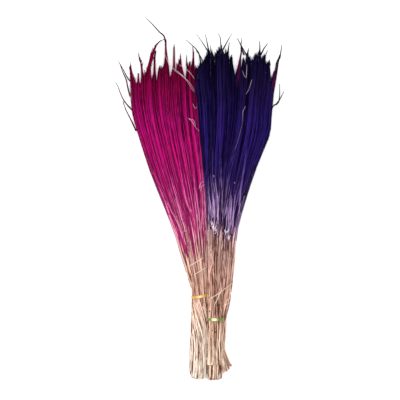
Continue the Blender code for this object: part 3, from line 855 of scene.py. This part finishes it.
def lift_over_tie(bunch, rho, phi, twist, x, y, z):
    """x and z of the straws once those that pass over the ribbon are drawn out beyond it."""
    low, high = bunch.spec["over_tie"]
    held = np.degrees(phi) % 360.0 + np.degrees(twist[:, y.shape[1] // 4])
    over = (rho > 0.62) & (held > low) & (held < high)
    rise = over[:, None] * np.exp(-((y - bunch.tie) / 16.0) ** 2)
    angle = phi[:, None] + twist
    outer_x, outer_z = bunch.place(np.cos(angle), np.sin(angle), y, margin=-1.2)
    return x + rise * (outer_x - x), z + rise * (outer_z - z)


def foot_lean(bunch, u, rng):
    """How far each straw leans to the right at the foot: only loose ones of that side do."""
    count = len(u)
    loose = (u[:, :1] > 0.3) & (rng.uniform(size=(count, 1)) < 0.62)
    return bunch.spec["splay"] * loose * ease(u / 0.8) * rng.uniform(0.5, 1.08, count)[:, None]


def hollow_feet(centres, tangents, radii, marks):
    """The straws with two more rings each, which turn in at the foot: cut wall and then pith."""
    count = len(centres)
    pith = centres[:, :1] + (0.0, PITH_DEPTH, 0.0)
    centres = np.concatenate((pith, centres[:, :1], centres), axis=1)
    tangents = np.concatenate((tangents[:, :1], tangents[:, :1], tangents), axis=1)
    bore = radii[:, :1] * BORE_SHARE
    radii = np.concatenate((bore * 0.9, bore, radii), axis=1)
    foot_marks = (np.full((count, 1), PITH_STRIP), np.full((count, 1), CUT_STRIP))
    return centres, tangents, radii, np.concatenate((*foot_marks, marks), axis=1)


def stalk_tubes(name, bunch, sizes, rng):
    """Straws that cross each other at the tie, with knots, slight bends and hollow cut ends."""
    spec = bunch.spec
    count = spec["stalks"]
    rho = np.sqrt((np.arange(count) + 0.6) / count)
    phi = even_angles(count) + rng.normal(0.0, 0.1, count)
    y = straw_rings(bunch, rho * np.cos(phi), 32, rng)
    coarse = sizes.stalk_diameter / MM / 2 * rng.uniform(0.75, 1.2, count)
    slender = np.interp(y, (bunch.foot, bunch.tie, bunch.dye_line, bunch.dye_line + 90.0),
                        (1.0, 0.86, 0.6, 0.25))
    radii = coarse[:, None] * slender
    twist = bunch.twist(y)
    # Each straw has four draws here, and the first two are used
    wander = rng.normal(0.0, 0.08, (count, 4))
    phase = rng.uniform(0.0, 2 * pi, (count, 2))
    angle = phi[:, None] + twist
    u = rho[:, None] * np.cos(angle) + wander[:, :1] * np.sin(y / 48.0 + phase[:, :1])
    v = rho[:, None] * np.sin(angle) + wander[:, 1:2] * np.sin(y / 52.0 + phase[:, 1:])
    x, z = bunch.place(u, v, y, margin=1.2)
    if spec["over_tie"]:
        x, z = lift_over_tie(bunch, rho, phi, twist, x, y, z)
    if spec["splay"]:
        lean = foot_lean(bunch, u, rng)
        bend = np.clip((bunch.tie - SPLAY_BELOW_TIE - y) / SPLAY_OVER, 0.0, 1.0) ** 1.4
        x = x + lean * bend
        y = y + 1.25 * lean * bend
    centres = np.stack((x, y, z), axis=-1)
    centres[..., 2] = np.maximum(centres[..., 2], radii)
    tangents = np.gradient(centres, axis=1)
    # A knot shows where two rings still stand as close together as they were set
    gaps = np.diff(y, axis=1)
    is_knot = (gaps > 0.8) & (gaps < 1.0) & (rng.uniform(size=(count, 1)) < 0.6)
    swell = np.zeros_like(radii)
    swell[:, 1:] += KNOT_SWELL * is_knot
    swell[:, :-1] += KNOT_SWELL * is_knot
    radii = radii * (1 + np.minimum(swell, KNOT_SWELL))
    marks = np.where(is_knot, KNOT_STRIP, -1)
    centres, tangents, radii, marks = hollow_feet(centres, tangents, radii, marks)
    tone = mixed_tones(rng, count, dark=0.28, light=0.26, middle=spec["straw_tone"])
    if spec["splay"]:
        tone = np.where(lean[:, 0] > 6.0, rng.choice((0.25, 0.6, 0.8, 0.95), count), tone)
    mesh = tube_mesh(name, centres, radii, sides=7, strips=strip_of(tone, rng), tangents=tangents,
                     marks=marks, turn=rng.uniform(0, 1, count), cut=True)
    mesh.set_sharp_from_angle(angle=radians(50))
    return mesh


def side_stems(name, bunch, sizes, rng, number=190):
    """Thin stems that leave the straws and fill the fan up to the dyed heads."""
    rho = np.sqrt(rng.uniform(0.25, 1.0, number))
    phi = even_angles(number)
    rings = 14
    root = bunch.tie + rng.uniform(-30.0, 45.0, number)
    end = bunch.dye_line + rng.uniform(-15.0, 95.0, number)
    t = np.linspace(0.0, 1.0, rings)
    y = root[:, None] + (end - root)[:, None] * t
    angle = phi[:, None] + bunch.twist(y)
    out = rho[:, None] * (0.8 + 0.2 * ease(t * 4))
    x, z = bunch.place(out * np.cos(angle), out * np.sin(angle), y, margin=0.9)
    wave = rng.uniform(0, 2 * pi, (number, 2))
    x += 0.8 * ease(t * 2) * np.sin(y / 26.0 + wave[:, :1])
    z += 0.8 * ease(t * 2) * np.sin(y / 29.0 + wave[:, 1:])
    centres = bunch.hold(np.stack((x, y, z), axis=-1), margin=0.5)
    thick = sizes.stalk_diameter / MM / 2 * rng.uniform(0.3, 0.55, number)[:, None]
    radii = thick * (1 - 0.55 * t)
    tone = mixed_tones(rng, number, dark=0.3, light=0.24)
    return tube_mesh(name, centres, radii, sides=6, strips=strip_of(tone, rng))


def sheath_blades(name, bunch, rng):
    """Split pale leaf sheaths that lie flat on the outer straws."""
    number = bunch.spec["sheaths"]
    rings = 12
    phi = even_angles(number) + rng.normal(0.0, 0.3, number)
    t = np.linspace(0.0, 1.0, rings)
    root = bunch.foot + rng.uniform(1.0, 26.0, number)
    length = np.minimum(rng.uniform(45.0, 110.0, number), bunch.tie - 5.0 - root)
    y = root[:, None] + length[:, None] * t
    angle = phi[:, None] + bunch.twist(y) + 0.05 * np.sin(y / 17.0 + phi[:, None])
    lift = 0.9 * t ** 4 * rng.uniform(0.0, 1.0, number)[:, None]
    x, z = bunch.place(np.cos(angle), np.sin(angle), y, margin=-0.1)
    x += lift * np.cos(angle)
    z += lift * np.sin(angle)
    centres = np.stack((x, y, z), axis=-1)
    centres[..., 2] = np.maximum(centres[..., 2], 0.4)
    outward = np.stack((np.cos(angle), np.zeros_like(angle), np.sin(angle)), axis=-1)
    radii = rng.uniform(0.6, 1.2, number)[:, None] * np.sqrt(np.clip(1.04 - t ** 3, 0.0, 1.0))
    return tube_mesh(name, centres, radii, sides=6, strips=strip_of(rng.uniform(0.7, 1.0, number), rng),
                     flat=0.22, facing=outward)


def splinters(name, bunch, rng, number=190):
    """Short split pieces of straw that lie a little askew on the upper side of the straws."""
    rings = 5
    t = np.linspace(-0.5, 0.5, rings)
    spread = rng.uniform(0.0, 1.0, number)[:, None] ** 1.25
    length = rng.uniform(8.0, 34.0, number)[:, None]
    low = bunch.foot + 8.0 + 0.5 * length
    y = low + (bunch.dye_line + 15.0 - low) * spread + length * t
    angle = rng.uniform(-0.15 * pi, 1.15 * pi, number)[:, None] + bunch.twist(y)
    angle = angle + rng.normal(0.0, 0.09, number)[:, None] * t * length / 10.0
    x, z = bunch.place(np.cos(angle), np.sin(angle), y, margin=0.1)
    centres = np.stack((x, y, z), axis=-1)
    radii = rng.uniform(0.3, 0.62, number)[:, None] * (1.0 - 1.6 * t ** 2)
    pale = rng.uniform(size=number) < 0.38
    tone = np.where(pale, rng.uniform(0.75, 1.0, number), rng.uniform(-0.3, 0.15, number))
    return tube_mesh(name, centres, radii, sides=5, strips=strip_of(tone, rng))


def pale_scraps(name, bunch, rng):
    """Short torn ends of bleached sheath where the dye stops, most of them near-white: partly their own
    colour and partly a painted sheen.
    """
    x, y, wide, tall = bunch.spec["scraps"]
    number, rings = 16, 4
    drop = rng.uniform(-1.0, 1.0, number)
    start = np.stack((x - wide * 0.5 * drop + rng.uniform(-0.5, 0.5, number) * wide,
                      y + tall * drop), axis=-1)
    heading = pi / 2 + rng.choice((-0.5, 0.25), number) + rng.normal(0.0, 0.15, number)
    curl = rng.normal(0.0, 0.25, number)[:, None]
    t = np.linspace(0.0, 1.0, rings)
    length = rng.uniform(3.0, 7.5, number)[:, None]
    turn = heading[:, None] + curl * t
    flat_x = start[:, :1] + length * np.cumsum(np.cos(turn), axis=1) / rings
    flat_y = start[:, 1:] + length * np.cumsum(np.sin(turn), axis=1) / rings
    height = bunch.crown(flat_x, flat_y) + 0.8 + 0.8 * np.sin(pi * t)
    centres = np.stack((flat_x, flat_y, height), axis=-1)
    radii = rng.uniform(0.4, 0.62, number)[:, None] * (1.0 - 0.6 * t)
    marks = np.where(rng.uniform(size=(number, 1)) < 0.7, SCRAP_SHEEN_STRIP, -1)
    marks = np.broadcast_to(marks, (number, rings - 1))
    return tube_mesh(name, centres, radii, sides=5, strips=strip_of(np.ones(number), rng), marks=marks)


def taut(heights):
    """Heights of a stiff strand laid over a profile: it bridges the hollows."""
    result = heights.copy()
    for i in range(len(heights)):
        for k in range(i + 1, len(heights)):
            bridge = np.linspace(heights[i], heights[k], k - i + 1)
            result[i:k + 1] = np.maximum(result[i:k + 1], bridge)
    return result


def pale_strand_tubes(name, rng):
    """Loose strands that lie over the bunches, with their ends tucked in."""
    rings = 16
    paths = []
    for below, _, points in PALE_STRANDS:
        flat = route(points, np.zeros(len(points)), rings)
        under = [BUNCHES[below]] if below else BUNCHES.values()
        crowns = [bunch.crown(flat[:, 0], flat[:, 1]) for bunch in under]
        bed = np.maximum(np.max(crowns, axis=0), LOWEST_BED)
        flat[:, 2] = taut(bed) + STRAND_GAP
        flat[[0, -1], 2] -= TUCKED_BY
        paths.append(flat)
    centres = np.array(paths)
    radii = np.interp(np.linspace(0, 1, rings), (0, 0.5, 1), (0.3, 0.42, 0.26))
    fine = np.interp(centres[:, :, 1], (-60.0, 60.0), (1.0, 0.62))
    radii = radii * fine * rng.uniform(0.85, 1.1, len(paths))[:, None]
    tones = np.array([tone for _, tone, _ in PALE_STRANDS])
    return tube_mesh(name, centres, radii, sides=6, strips=strip_of(tones, rng))


def ribbon_mesh(name, bunch, sizes):
    """A ribbon wound once round the straws, whose end laps over its start."""
    width = sizes.ribbon_width / MM
    thick = sizes.ribbon_thickness / MM
    x, z, wide, high = [float(value) for value in bunch.at(bunch.tie)]
    slant = radians(bunch.spec["tie_slant"])
    steps = 120
    verts, places = [], []
    for i in range(steps + 1):
        turned = (2 * pi + LAP_TURN) * i / steps
        angle = RIBBON_START + turned
        over = float(ease((turned - 2 * pi + LAP_RISE) / LAP_RISE))
        lift = RIBBON_GAP + RIPPLE_HEIGHT * cos(RIPPLES * angle) + (thick + LAP_GAP) * over
        narrow = 1.0 - END_NARROWING * float(ease((turned - 2 * pi) / LAP_TURN))
        for out, across in RIBBON_SECTION:
            reach = lift + thick * out
            local_x = (wide + reach) * cos(angle)
            y = bunch.tie + width * across * narrow * cos(slant) + local_x * sin(slant)
            verts.append((x + local_x * cos(slant) - width * across * sin(slant), y,
                          z + (high + reach) * sin(angle)))
            places.append((0.02 + 0.96 * i / steps, 0.5 + 0.9 * across))
    size = len(RIBBON_SECTION)
    faces = []
    for i in range(steps):
        for k in range(size):
            a, b = i * size + k, i * size + (k + 1) % size
            faces.append((a, b, b + size, a + size))
    faces.append(tuple(range(size - 1, -1, -1)))
    faces.append(tuple(steps * size + k for k in range(size)))
    mesh = bpy.data.meshes.new(name)
    mesh.from_pydata([[value * MM for value in vert] for vert in verts], [], faces)
    layer = mesh.uv_layers.new(name=MAP_NAME)
    for corner, spot in zip(mesh.loops, layer.data):
        spot.uv = places[corner.vertex_index]
    mesh.shade_smooth()
    mesh.set_sharp_from_angle(angle=radians(40))
    return mesh


def add(tree, kind, inputs=None, stops=None, **settings):
    """Adds a node, its settings, its links or values and a ramp's stops."""
    node = tree.nodes.new(kind)
    for key, value in settings.items():
        setattr(node, key, value)
    for key, value in (inputs or {}).items():
        if isinstance(value, bpy.types.NodeSocket):
            tree.links.new(value, node.inputs[key])
        else:
            node.inputs[key].default_value = value
    if stops:
        ramp = node.color_ramp
        while len(ramp.elements) < len(stops):
            ramp.elements.new(1.0)
        for element, (position, colour) in zip(ramp.elements, stops):
            element.position = position
            element.color = (*colour, 1.0)
    return node


def new_material(name):
    """A new material, its node tree and its shader."""
    material = bpy.data.materials.new(name)
    material.use_nodes = True
    return material, material.node_tree, material.node_tree.nodes["Principled BSDF"]


def strand_material(name, span, dark, light, ragged, roughness, specular, mottle,
                    specials=None, soak=None):
    """Dried plant fibre whose colour runs along it: dark and light are stops (y, hex).

    ragged is how many millimetres a stop lies off from strand to strand, and mottle how much a
    strand's tone changes along it. soak is a power that darkens the tones, and the y from which
    and to which it comes in. specials are strips of one colour.
    """
    length = span[1] - span[0]
    material, tree, shader = new_material(name)
    place = add(tree, "ShaderNodeUVMap", uv_map=MAP_NAME)
    axes = add(tree, "ShaderNodeSeparateXYZ", {0: place.outputs[0]})
    scaled = add(tree, "ShaderNodeMath", {0: axes.outputs[0], 1: STRIPS}, operation="MULTIPLY")
    strip = add(tree, "ShaderNodeMath", {0: scaled.outputs[0]}, operation="FLOOR")
    chance = add(tree, "ShaderNodeTexWhiteNoise", {1: strip.outputs[0]}, noise_dimensions="1D")
    level = add(tree, "ShaderNodeMath", {0: strip.outputs[0], 1: VARIANTS}, operation="DIVIDE")
    tone = add(tree, "ShaderNodeMath", {0: level.outputs[0]}, operation="FLOOR")
    shift = add(tree, "ShaderNodeMath", {0: chance.outputs[0], 1: -0.5}, operation="ADD")
    fray = add(tree, "ShaderNodeMath", {0: shift.outputs[0], 1: ragged / length,
                                        2: axes.outputs[1]}, operation="MULTIPLY_ADD")
    spot = add(tree, "ShaderNodeCombineXYZ", {0: strip.outputs[0], 1: axes.outputs[1]})
    stretch = add(tree, "ShaderNodeVectorMath", {0: spot.outputs[0],
                                                 1: (STRIP_STEP, length / PATCH_LENGTH, 1.0)},
                  operation="MULTIPLY")
    patches = add(tree, "ShaderNodeTexNoise", {"Vector": stretch.outputs[0], "Scale": 1.0,
                                               "Detail": 3.0}, noise_dimensions="2D")
    lift = add(tree, "ShaderNodeMath", {0: patches.outputs[0], 1: -0.5}, operation="ADD")
    share = add(tree, "ShaderNodeMath", {0: tone.outputs[0], 1: TONES - 1}, operation="DIVIDE")
    mixed = add(tree, "ShaderNodeMath", {0: lift.outputs[0], 1: mottle, 2: share.outputs[0]},
                operation="MULTIPLY_ADD", use_clamp=True)
    if soak:
        power, soak_start, soak_end = soak
        depth = add(tree, "ShaderNodeMapRange", {0: fray.outputs[0], 1: along(soak_start, span),
                                                 2: along(soak_end, span), 3: 1.0, 4: power})
        mixed = add(tree, "ShaderNodeMath", {0: mixed.outputs[0], 1: depth.outputs[0]},
                    operation="POWER")
    shades = [add(tree, "ShaderNodeValToRGB", {0: fray.outputs[0]},
                  stops=[(along(y, span), linear(code)) for y, code in side])
              for side in (dark, light)]
    colour = add(tree, "ShaderNodeMix", {0: mixed.outputs[0], 6: shades[0].outputs[0],
                                         7: shades[1].outputs[0]}, data_type="RGBA")
    result = colour.outputs[2]
    for strip_number, code in (specials or {}).items():
        near = add(tree, "ShaderNodeMath", {0: strip.outputs[0], 1: float(strip_number), 2: 0.5},
                   operation="COMPARE")
        result = add(tree, "ShaderNodeMix", {0: near.outputs[0], 6: result,
                                             7: (*linear(code), 1.0)},
                     data_type="RGBA").outputs[2]
    tree.links.new(result, shader.inputs["Base Color"])
    shader.inputs["Roughness"].default_value = roughness
    shader.inputs["Specular IOR Level"].default_value = specular
    shader.inputs["IOR"].default_value = 1.5
    return material


def magenta_bristle_material():
    # Dyed dried grass bristle: the dye soaks in, so that hardly any light comes off its skin
    return strand_material(
        "magenta_dyed_grass_bristle", HEAD_SPAN,
        dark=((-80, "#78003c"), (-20, "#600030"), (60, "#4c0022"), (130, "#3c001a"),
              (190, "#280008")),
        light=((-80, "#d02c88"), (-30, "#e44498"), (10, "#de2490"), (45, "#da1888"),
               (85, "#d81484"), (120, "#d01086"), (165, "#ac0458"), (210, "#920040")),
        ragged=40.0, roughness=0.6, specular=0.04, mottle=1.1)


def violet_bristle_material():
    # The same bristle in violet dye, which takes deep: the near-black of its darkest strands is
    # partly the dye and partly painted shade of the gaps between tufts
    return strand_material(
        "violet_dyed_grass_bristle", HEAD_SPAN,
        dark=((-50, "#0e0028"), (0, "#08002a"), (60, "#040026"), (130, "#02001e"),
              (200, "#020010")),
        light=((-50, "#9468b0"), (-15, "#583884"), (20, "#3c2478"), (80, "#342078"),
               (120, "#321e76"), (170, "#281a54"), (210, "#1c1440")),
        ragged=28.0, roughness=0.6, specular=0.03, mottle=1.1,
        specials={STAIN_STRIP: "#620c44"})


def straw_material(name, dark, light, ragged, soak):
    # Air-dried wheat straw: a hard skin gone dull, with darker knots, pale cut ends and brown
    # pith, pinkish where dye has run down and bleached towards the foot. The torn sheath scraps
    # are near-white, partly their own colour and partly a painted sheen.
    return strand_material(
        name, STRAW_SPAN, dark, light, ragged, roughness=0.5, specular=0.1, mottle=1.3,
        specials={KNOT_STRIP: "#74493a", CUT_STRIP: "#ecd6b8", PITH_STRIP: "#8a6448",
                  SCRAP_SHEEN_STRIP: "#f4e8f4"}, soak=soak)


def magenta_straw_material():
    # The magenta dye has run far down these straws, so they turn pink slowly
    return straw_material(
        "magenta_tinged_wheat_straw",
        dark=((-256, "#7a3c28"), (-190, "#783c2c"), (-130, "#743c2c"), (-80, "#7c4436"),
              (-54, "#84164c"), (-20, "#7c0446"), (60, "#600030")),
        light=((-256, "#fcf2e2"), (-190, "#fcead6"), (-130, "#fcd2bc"), (-80, "#fad2c2"),
               (-50, "#fcb8c4"), (-15, "#f08cbe"), (25, "#e054a6"), (60, "#d83496"),
               (95, "#cc2488"), (135, "#a80c5c")),
        ragged=36.0, soak=(2.3, -66.0, -24.0))


def violet_straw_material():
    # The violet dye stops at a sharper line, over straw that is a little browner
    return straw_material(
        "violet_tinged_wheat_straw",
        dark=((-256, "#643420"), (-190, "#602c1c"), (-130, "#5c3024"), (-60, "#582c28"),
              (-46, "#4c2038"), (-37, "#1c0434"), (10, "#120230")),
        light=((-262, "#fcdccc"), (-240, "#fce4cc"), (-190, "#fcd8be"), (-130, "#eebca8"),
               (-60, "#ecc2b8"), (-46, "#eac0cc"), (-32, "#d4acd8"), (0, "#b08cc8"),
               (30, "#705094"), (60, "#4a388a"), (95, "#3c2e86"), (130, "#2a1e64")),
        ragged=18.0, soak=(3.0, -50.0, -36.0))


def pale_strand_material():
    # Undyed awn and split straw: pale, a little shiny, pinkish where it lay in the dyed heads
    return strand_material(
        "undyed_dry_awn", LOOSE_SPAN,
        dark=((-150, "#b88c6c"), (-60, "#b8907c"), (20, "#3c2c5c"), (200, "#2c2048")),
        light=((-150, "#fff0dc"), (-60, "#ffecd8"), (20, "#f0dce4"), (200, "#f0dce4")),
        ragged=20.0, roughness=0.5, specular=0.2, mottle=1.0)


def ribbon_material(name, colour, pale, highlight_strength):
    # Split polypropylene ribbon: smooth extruded film with fine lines along its length, and a
    # pale stretch on top that is a painted highlight, added to the real one that the lamps give.
    # The lines are 10 mm long and 0.3 mm wide, so that from afar they show as lighter and darker
    # stretches.
    material, tree, shader = new_material(name)
    place = add(tree, "ShaderNodeUVMap", uv_map=MAP_NAME)
    stretch = add(tree, "ShaderNodeVectorMath", {0: place.outputs[0], 1: RIBBON_LINES},
                  operation="MULTIPLY")
    lines = add(tree, "ShaderNodeTexNoise", {"Vector": stretch.outputs[0], "Scale": 1.0})
    furrow = (*[0.55 * c for c in colour], 1.0)
    shade = add(tree, "ShaderNodeMix", {0: lines.outputs[0], 6: furrow, 7: (*colour, 1.0)},
                data_type="RGBA")
    axes = add(tree, "ShaderNodeSeparateXYZ", {0: place.outputs[0]})
    # Painted highlight: where the map's u runs from 0.55 to 0.675, on top of the ribbon, the colour is
    # mixed towards the pale one
    painted_highlight = add(tree, "ShaderNodeValToRGB", {0: axes.outputs[0]}, stops=(
        (0.55, (0, 0, 0)), (0.59, (highlight_strength,) * 3), (0.63, (highlight_strength,) * 3), (0.675, (0, 0, 0))))
    shade = add(tree, "ShaderNodeMix", {0: painted_highlight.outputs[0], 6: shade.outputs[2],
                                        7: (*linear(pale), 1.0)}, data_type="RGBA")
    bump = add(tree, "ShaderNodeBump", {"Height": lines.outputs[0], "Strength": 0.3,
                                        "Distance": 0.0002})
    tree.links.new(shade.outputs[2], shader.inputs["Base Color"])
    tree.links.new(bump.outputs[0], shader.inputs["Normal"])
    shader.inputs["Roughness"].default_value = 0.4
    shader.inputs["IOR"].default_value = 1.49
    shader.inputs["Coat Weight"].default_value = 0.2
    shader.inputs["Coat Roughness"].default_value = 0.4
    return material


def backdrop_material(colour):
    # Matt white card pressed from pulp: even and dull, with a mottle of 2.5 mm that is drawn
    # coarser than real fibre and too faint for the camera to see
    material, tree, shader = new_material("matt_white_card")
    place = add(tree, "ShaderNodeTexCoord")
    grain = add(tree, "ShaderNodeTexNoise", {"Vector": place.outputs["Object"],
                                             "Scale": 1.0 / CARD_MOTTLE})
    greyer = (*[0.99 * c for c in colour], 1.0)
    shade = add(tree, "ShaderNodeMix", {0: grain.outputs[0], 6: greyer, 7: (*colour, 1.0)},
                data_type="RGBA")
    tree.links.new(shade.outputs[2], shader.inputs["Base Color"])
    shader.inputs["Roughness"].default_value = 0.9
    return material


# The order in which the heads are built, and the slot that each takes its finish from
HEADS = (
    ("magenta", "magenta_bristle"),
    ("violet_back", "violet_bristle"),
    ("violet_front", "violet_bristle"),
)
# Names of a head's pieces: the second holds the bristles that the first has no room for
LOTS = ("_bristles", "_bristles_between")
# Each tie: its piece, bunch, CAD node and slot
TIES = (
    ("yellow_ribbon_tie", "magenta", "yellow_tie", "yellow_ribbon"),
    ("green_ribbon_tie", "violet_front", "green_tie", "green_ribbon"),
    ("hidden_ribbon_tie", "violet_back", "hidden_green_tie", "green_ribbon"),
)


class BouquetSizes(bpy.types.PropertyGroup):
    """Sizes of the bouquet that a user may change"""
    stalk_diameter: FloatProperty(
        name="Stalk diameter", description="Straw thickness at the cut end",
        default=0.0022, unit="LENGTH")
    bristle_diameter: FloatProperty(
        name="Bristle diameter", description="Thickness of a head's bristle",
        default=0.0009, unit="LENGTH")
    ribbon_width: FloatProperty(
        name="Ribbon width", description="Width of the ribbon of each tie",
        default=0.0036, unit="LENGTH")
    ribbon_thickness: FloatProperty(
        name="Ribbon thickness", description="Thickness of the ribbon of each tie",
        default=0.0004, unit="LENGTH")
    seed: IntProperty(name="Seed", description="Seed of every random draw", default=4602)


class BouquetColours(bpy.types.PropertyGroup):
    """Colours of the ties and the stage that a user may change"""
    yellow_ribbon: FloatVectorProperty(
        name="Yellow ribbon", description="Colour of the left bunch's tie",
        subtype="COLOR", default=linear("#f0b52e"))
    green_ribbon: FloatVectorProperty(
        name="Green ribbon", description="Colour of the violet bunches' ties",
        subtype="COLOR", default=linear("#68902c"))
    backdrop: FloatVectorProperty(
        name="Backdrop", description="Colour of the card that the bouquet lies on",
        subtype="COLOR", default=linear("#fcfcfc"))


class BOUQUET_OT_heads(bpy.types.Operator):
    """Builds the dyed head of each bunch from fine bristles"""
    bl_idname = "bouquet.heads"
    bl_label = "Dyed Heads"

    def execute(self, context):
        sizes = context.scene.bouquet_sizes
        finishes = {"magenta_bristle": magenta_bristle_material(),
                    "violet_bristle": violet_bristle_material()}
        for place, (name, slot) in enumerate(HEADS):
            rng = np.random.default_rng(sizes.seed + place)
            bunch = BUNCHES[name]
            for lot, strands in zip(LOTS, bunch.spec["strands"]):
                meshes = [head_bristles(name, bunch, sizes, strands, rng)]
                if lot == LOTS[0]:
                    meshes += [whisker_tubes(name, bunch, rng), tip_hairs(name, bunch, rng)]
                    if bunch.spec["trails"]:
                        meshes.append(laid_strands(name, bunch, bunch.spec["trails"], rng, thick=0.5))
                join_meshes(name + lot, meshes, finishes[slot], [name + "_heads"],
                            HEAD_SPAN)
        return {"FINISHED"}


class BOUQUET_OT_stalks(bpy.types.Operator):
    """Builds the natural straws of each bunch, with knots and hollow cut ends"""
    bl_idname = "bouquet.stalks"
    bl_label = "Straw Stalks"

    def execute(self, context):
        sizes = context.scene.bouquet_sizes
        magenta = magenta_straw_material()
        violet = violet_straw_material()
        for place, (name, bunch) in enumerate(BUNCHES.items()):
            rng = np.random.default_rng(sizes.seed + STRAW_SEED + place)
            meshes = [stalk_tubes(name, bunch, sizes, rng), side_stems(name, bunch, sizes, rng),
                      sheath_blades(name, bunch, rng),
                      laid_strands(name, bunch, bunch.spec["pale_and_shadow_bundles"], rng, thick=0.46),
                      fan_strands(name, bunch, rng), splinters(name, bunch, rng)]
            if bunch.spec["scraps"]:
                meshes.append(pale_scraps(name, bunch, rng))
            # One finish serves both violet bunches, so its map is moved to each one's dye line
            finish = magenta if name == "magenta" else violet
            rise = 0.0 if name == "magenta" else VIOLET_DYE_LINE - bunch.dye_line
            join_meshes(name + "_straws", meshes, finish, [name + "_stalks"],
                        STRAW_SPAN, rise)
        return {"FINISHED"}


class BOUQUET_OT_strands(bpy.types.Operator):
    """Lays the loose pale strands over the bunches"""
    bl_idname = "bouquet.strands"
    bl_label = "Loose Strands"

    def execute(self, context):
        rng = np.random.default_rng(context.scene.bouquet_sizes.seed + STRAND_SEED)
        mesh = pale_strand_tubes("loose_pale_strands", rng)
        join_meshes("loose_pale_strands", [mesh], pale_strand_material(), [],
                    LOOSE_SPAN)
        return {"FINISHED"}


class BOUQUET_OT_ties(bpy.types.Operator):
    """Winds the ribbon of each bunch"""
    bl_idname = "bouquet.ties"
    bl_label = "Ribbon Ties"

    def execute(self, context):
        sizes, colours = context.scene.bouquet_sizes, context.scene.bouquet_colours
        # Each ribbon has a pale colour and a strength for the painted highlight on its top
        finishes = {
            "yellow_ribbon": ribbon_material("yellow_polypropylene_ribbon",
                                             colours.yellow_ribbon, "#e4be88", highlight_strength=0.85),
            "green_ribbon": ribbon_material("green_polypropylene_ribbon",
                                            colours.green_ribbon, "#f6f2b4", highlight_strength=0.9)}
        for name, bunch, node, slot in TIES:
            mesh = ribbon_mesh(name, BUNCHES[bunch], sizes)
            join_meshes(name, [mesh], finishes[slot], [node])
        return {"FINISHED"}


class BOUQUET_OT_stage(bpy.types.Operator):
    """Lays the card, the soft lights and the camera"""
    bl_idname = "bouquet.stage"
    bl_label = "Stage"

    def execute(self, context):
        scene = context.scene
        bpy.ops.mesh.primitive_plane_add(size=CARD_SIZE, location=(0.0, 0.0, 0.0))
        floor = context.object
        floor.name = "backdrop_card"
        floor.data.materials.append(backdrop_material(scene.bouquet_colours.backdrop))
        world = scene.world or bpy.data.worlds.new("World")
        scene.world = world
        world.use_nodes = True
        background = world.node_tree.nodes["Background"]
        background.inputs["Color"].default_value = (1, 1, 1, 1)
        background.inputs["Strength"].default_value = WORLD_STRENGTH
        scene.view_settings.view_transform = "Standard"
        for name, place, size, power in SOFTBOXES:
            light = bpy.data.lights.new(name, "AREA")
            light.size = size
            light.energy = power
            lamp = bpy.data.objects.new(name, light)
            lamp.location = place
            aim = Vector(np.array(place) - BOUQUET_MIDDLE)
            lamp.rotation_euler = aim.to_track_quat("Z", "Y").to_euler()
            scene.collection.objects.link(lamp)
        camera = bpy.data.cameras.new("camera")
        camera.sensor_width = SENSOR_WIDTH
        camera.lens = SENSOR_WIDTH * CAMERA_DISTANCE / FRAME_WIDTH
        eye = bpy.data.objects.new("camera", camera)
        x, y, z = FRAME_MIDDLE
        eye.location = (x, y, z + CAMERA_DISTANCE)
        scene.collection.objects.link(eye)
        scene.camera = eye
        return {"FINISHED"}


class BOUQUET_PT_panel(bpy.types.Panel):
    """Lists the steps that build the bouquet, and its sizes and colours"""
    bl_label = "Dried Wheat Bouquet"
    bl_space_type = "VIEW_3D"
    bl_region_type = "UI"
    bl_category = "Bouquet"

    def draw(self, context):
        for step in STEPS:
            self.layout.operator("bouquet." + step)
        for group in (context.scene.bouquet_sizes, context.scene.bouquet_colours):
            for key in group.__annotations__:
                self.layout.prop(group, key)


STEPS = ("heads", "stalks", "strands", "ties", "stage")
CLASSES = (BouquetSizes, BouquetColours, BOUQUET_OT_heads, BOUQUET_OT_stalks,
           BOUQUET_OT_strands, BOUQUET_OT_ties, BOUQUET_OT_stage, BOUQUET_PT_panel)


def register():
    """Makes the bouquet's operators, panel, sizes and colours known to Blender."""
    for cls in CLASSES:
        bpy.utils.register_class(cls)
    bpy.types.Scene.bouquet_sizes = PointerProperty(type=BouquetSizes)
    bpy.types.Scene.bouquet_colours = PointerProperty(type=BouquetColours)


def unregister():
    """Takes them away again."""
    del bpy.types.Scene.bouquet_sizes
    del bpy.types.Scene.bouquet_colours
    for cls in reversed(CLASSES):
        bpy.utils.unregister_class(cls)


def main():
    register()
    for step in STEPS:
        getattr(bpy.ops.bouquet, step)()


if __name__ == "__main__":
    main()
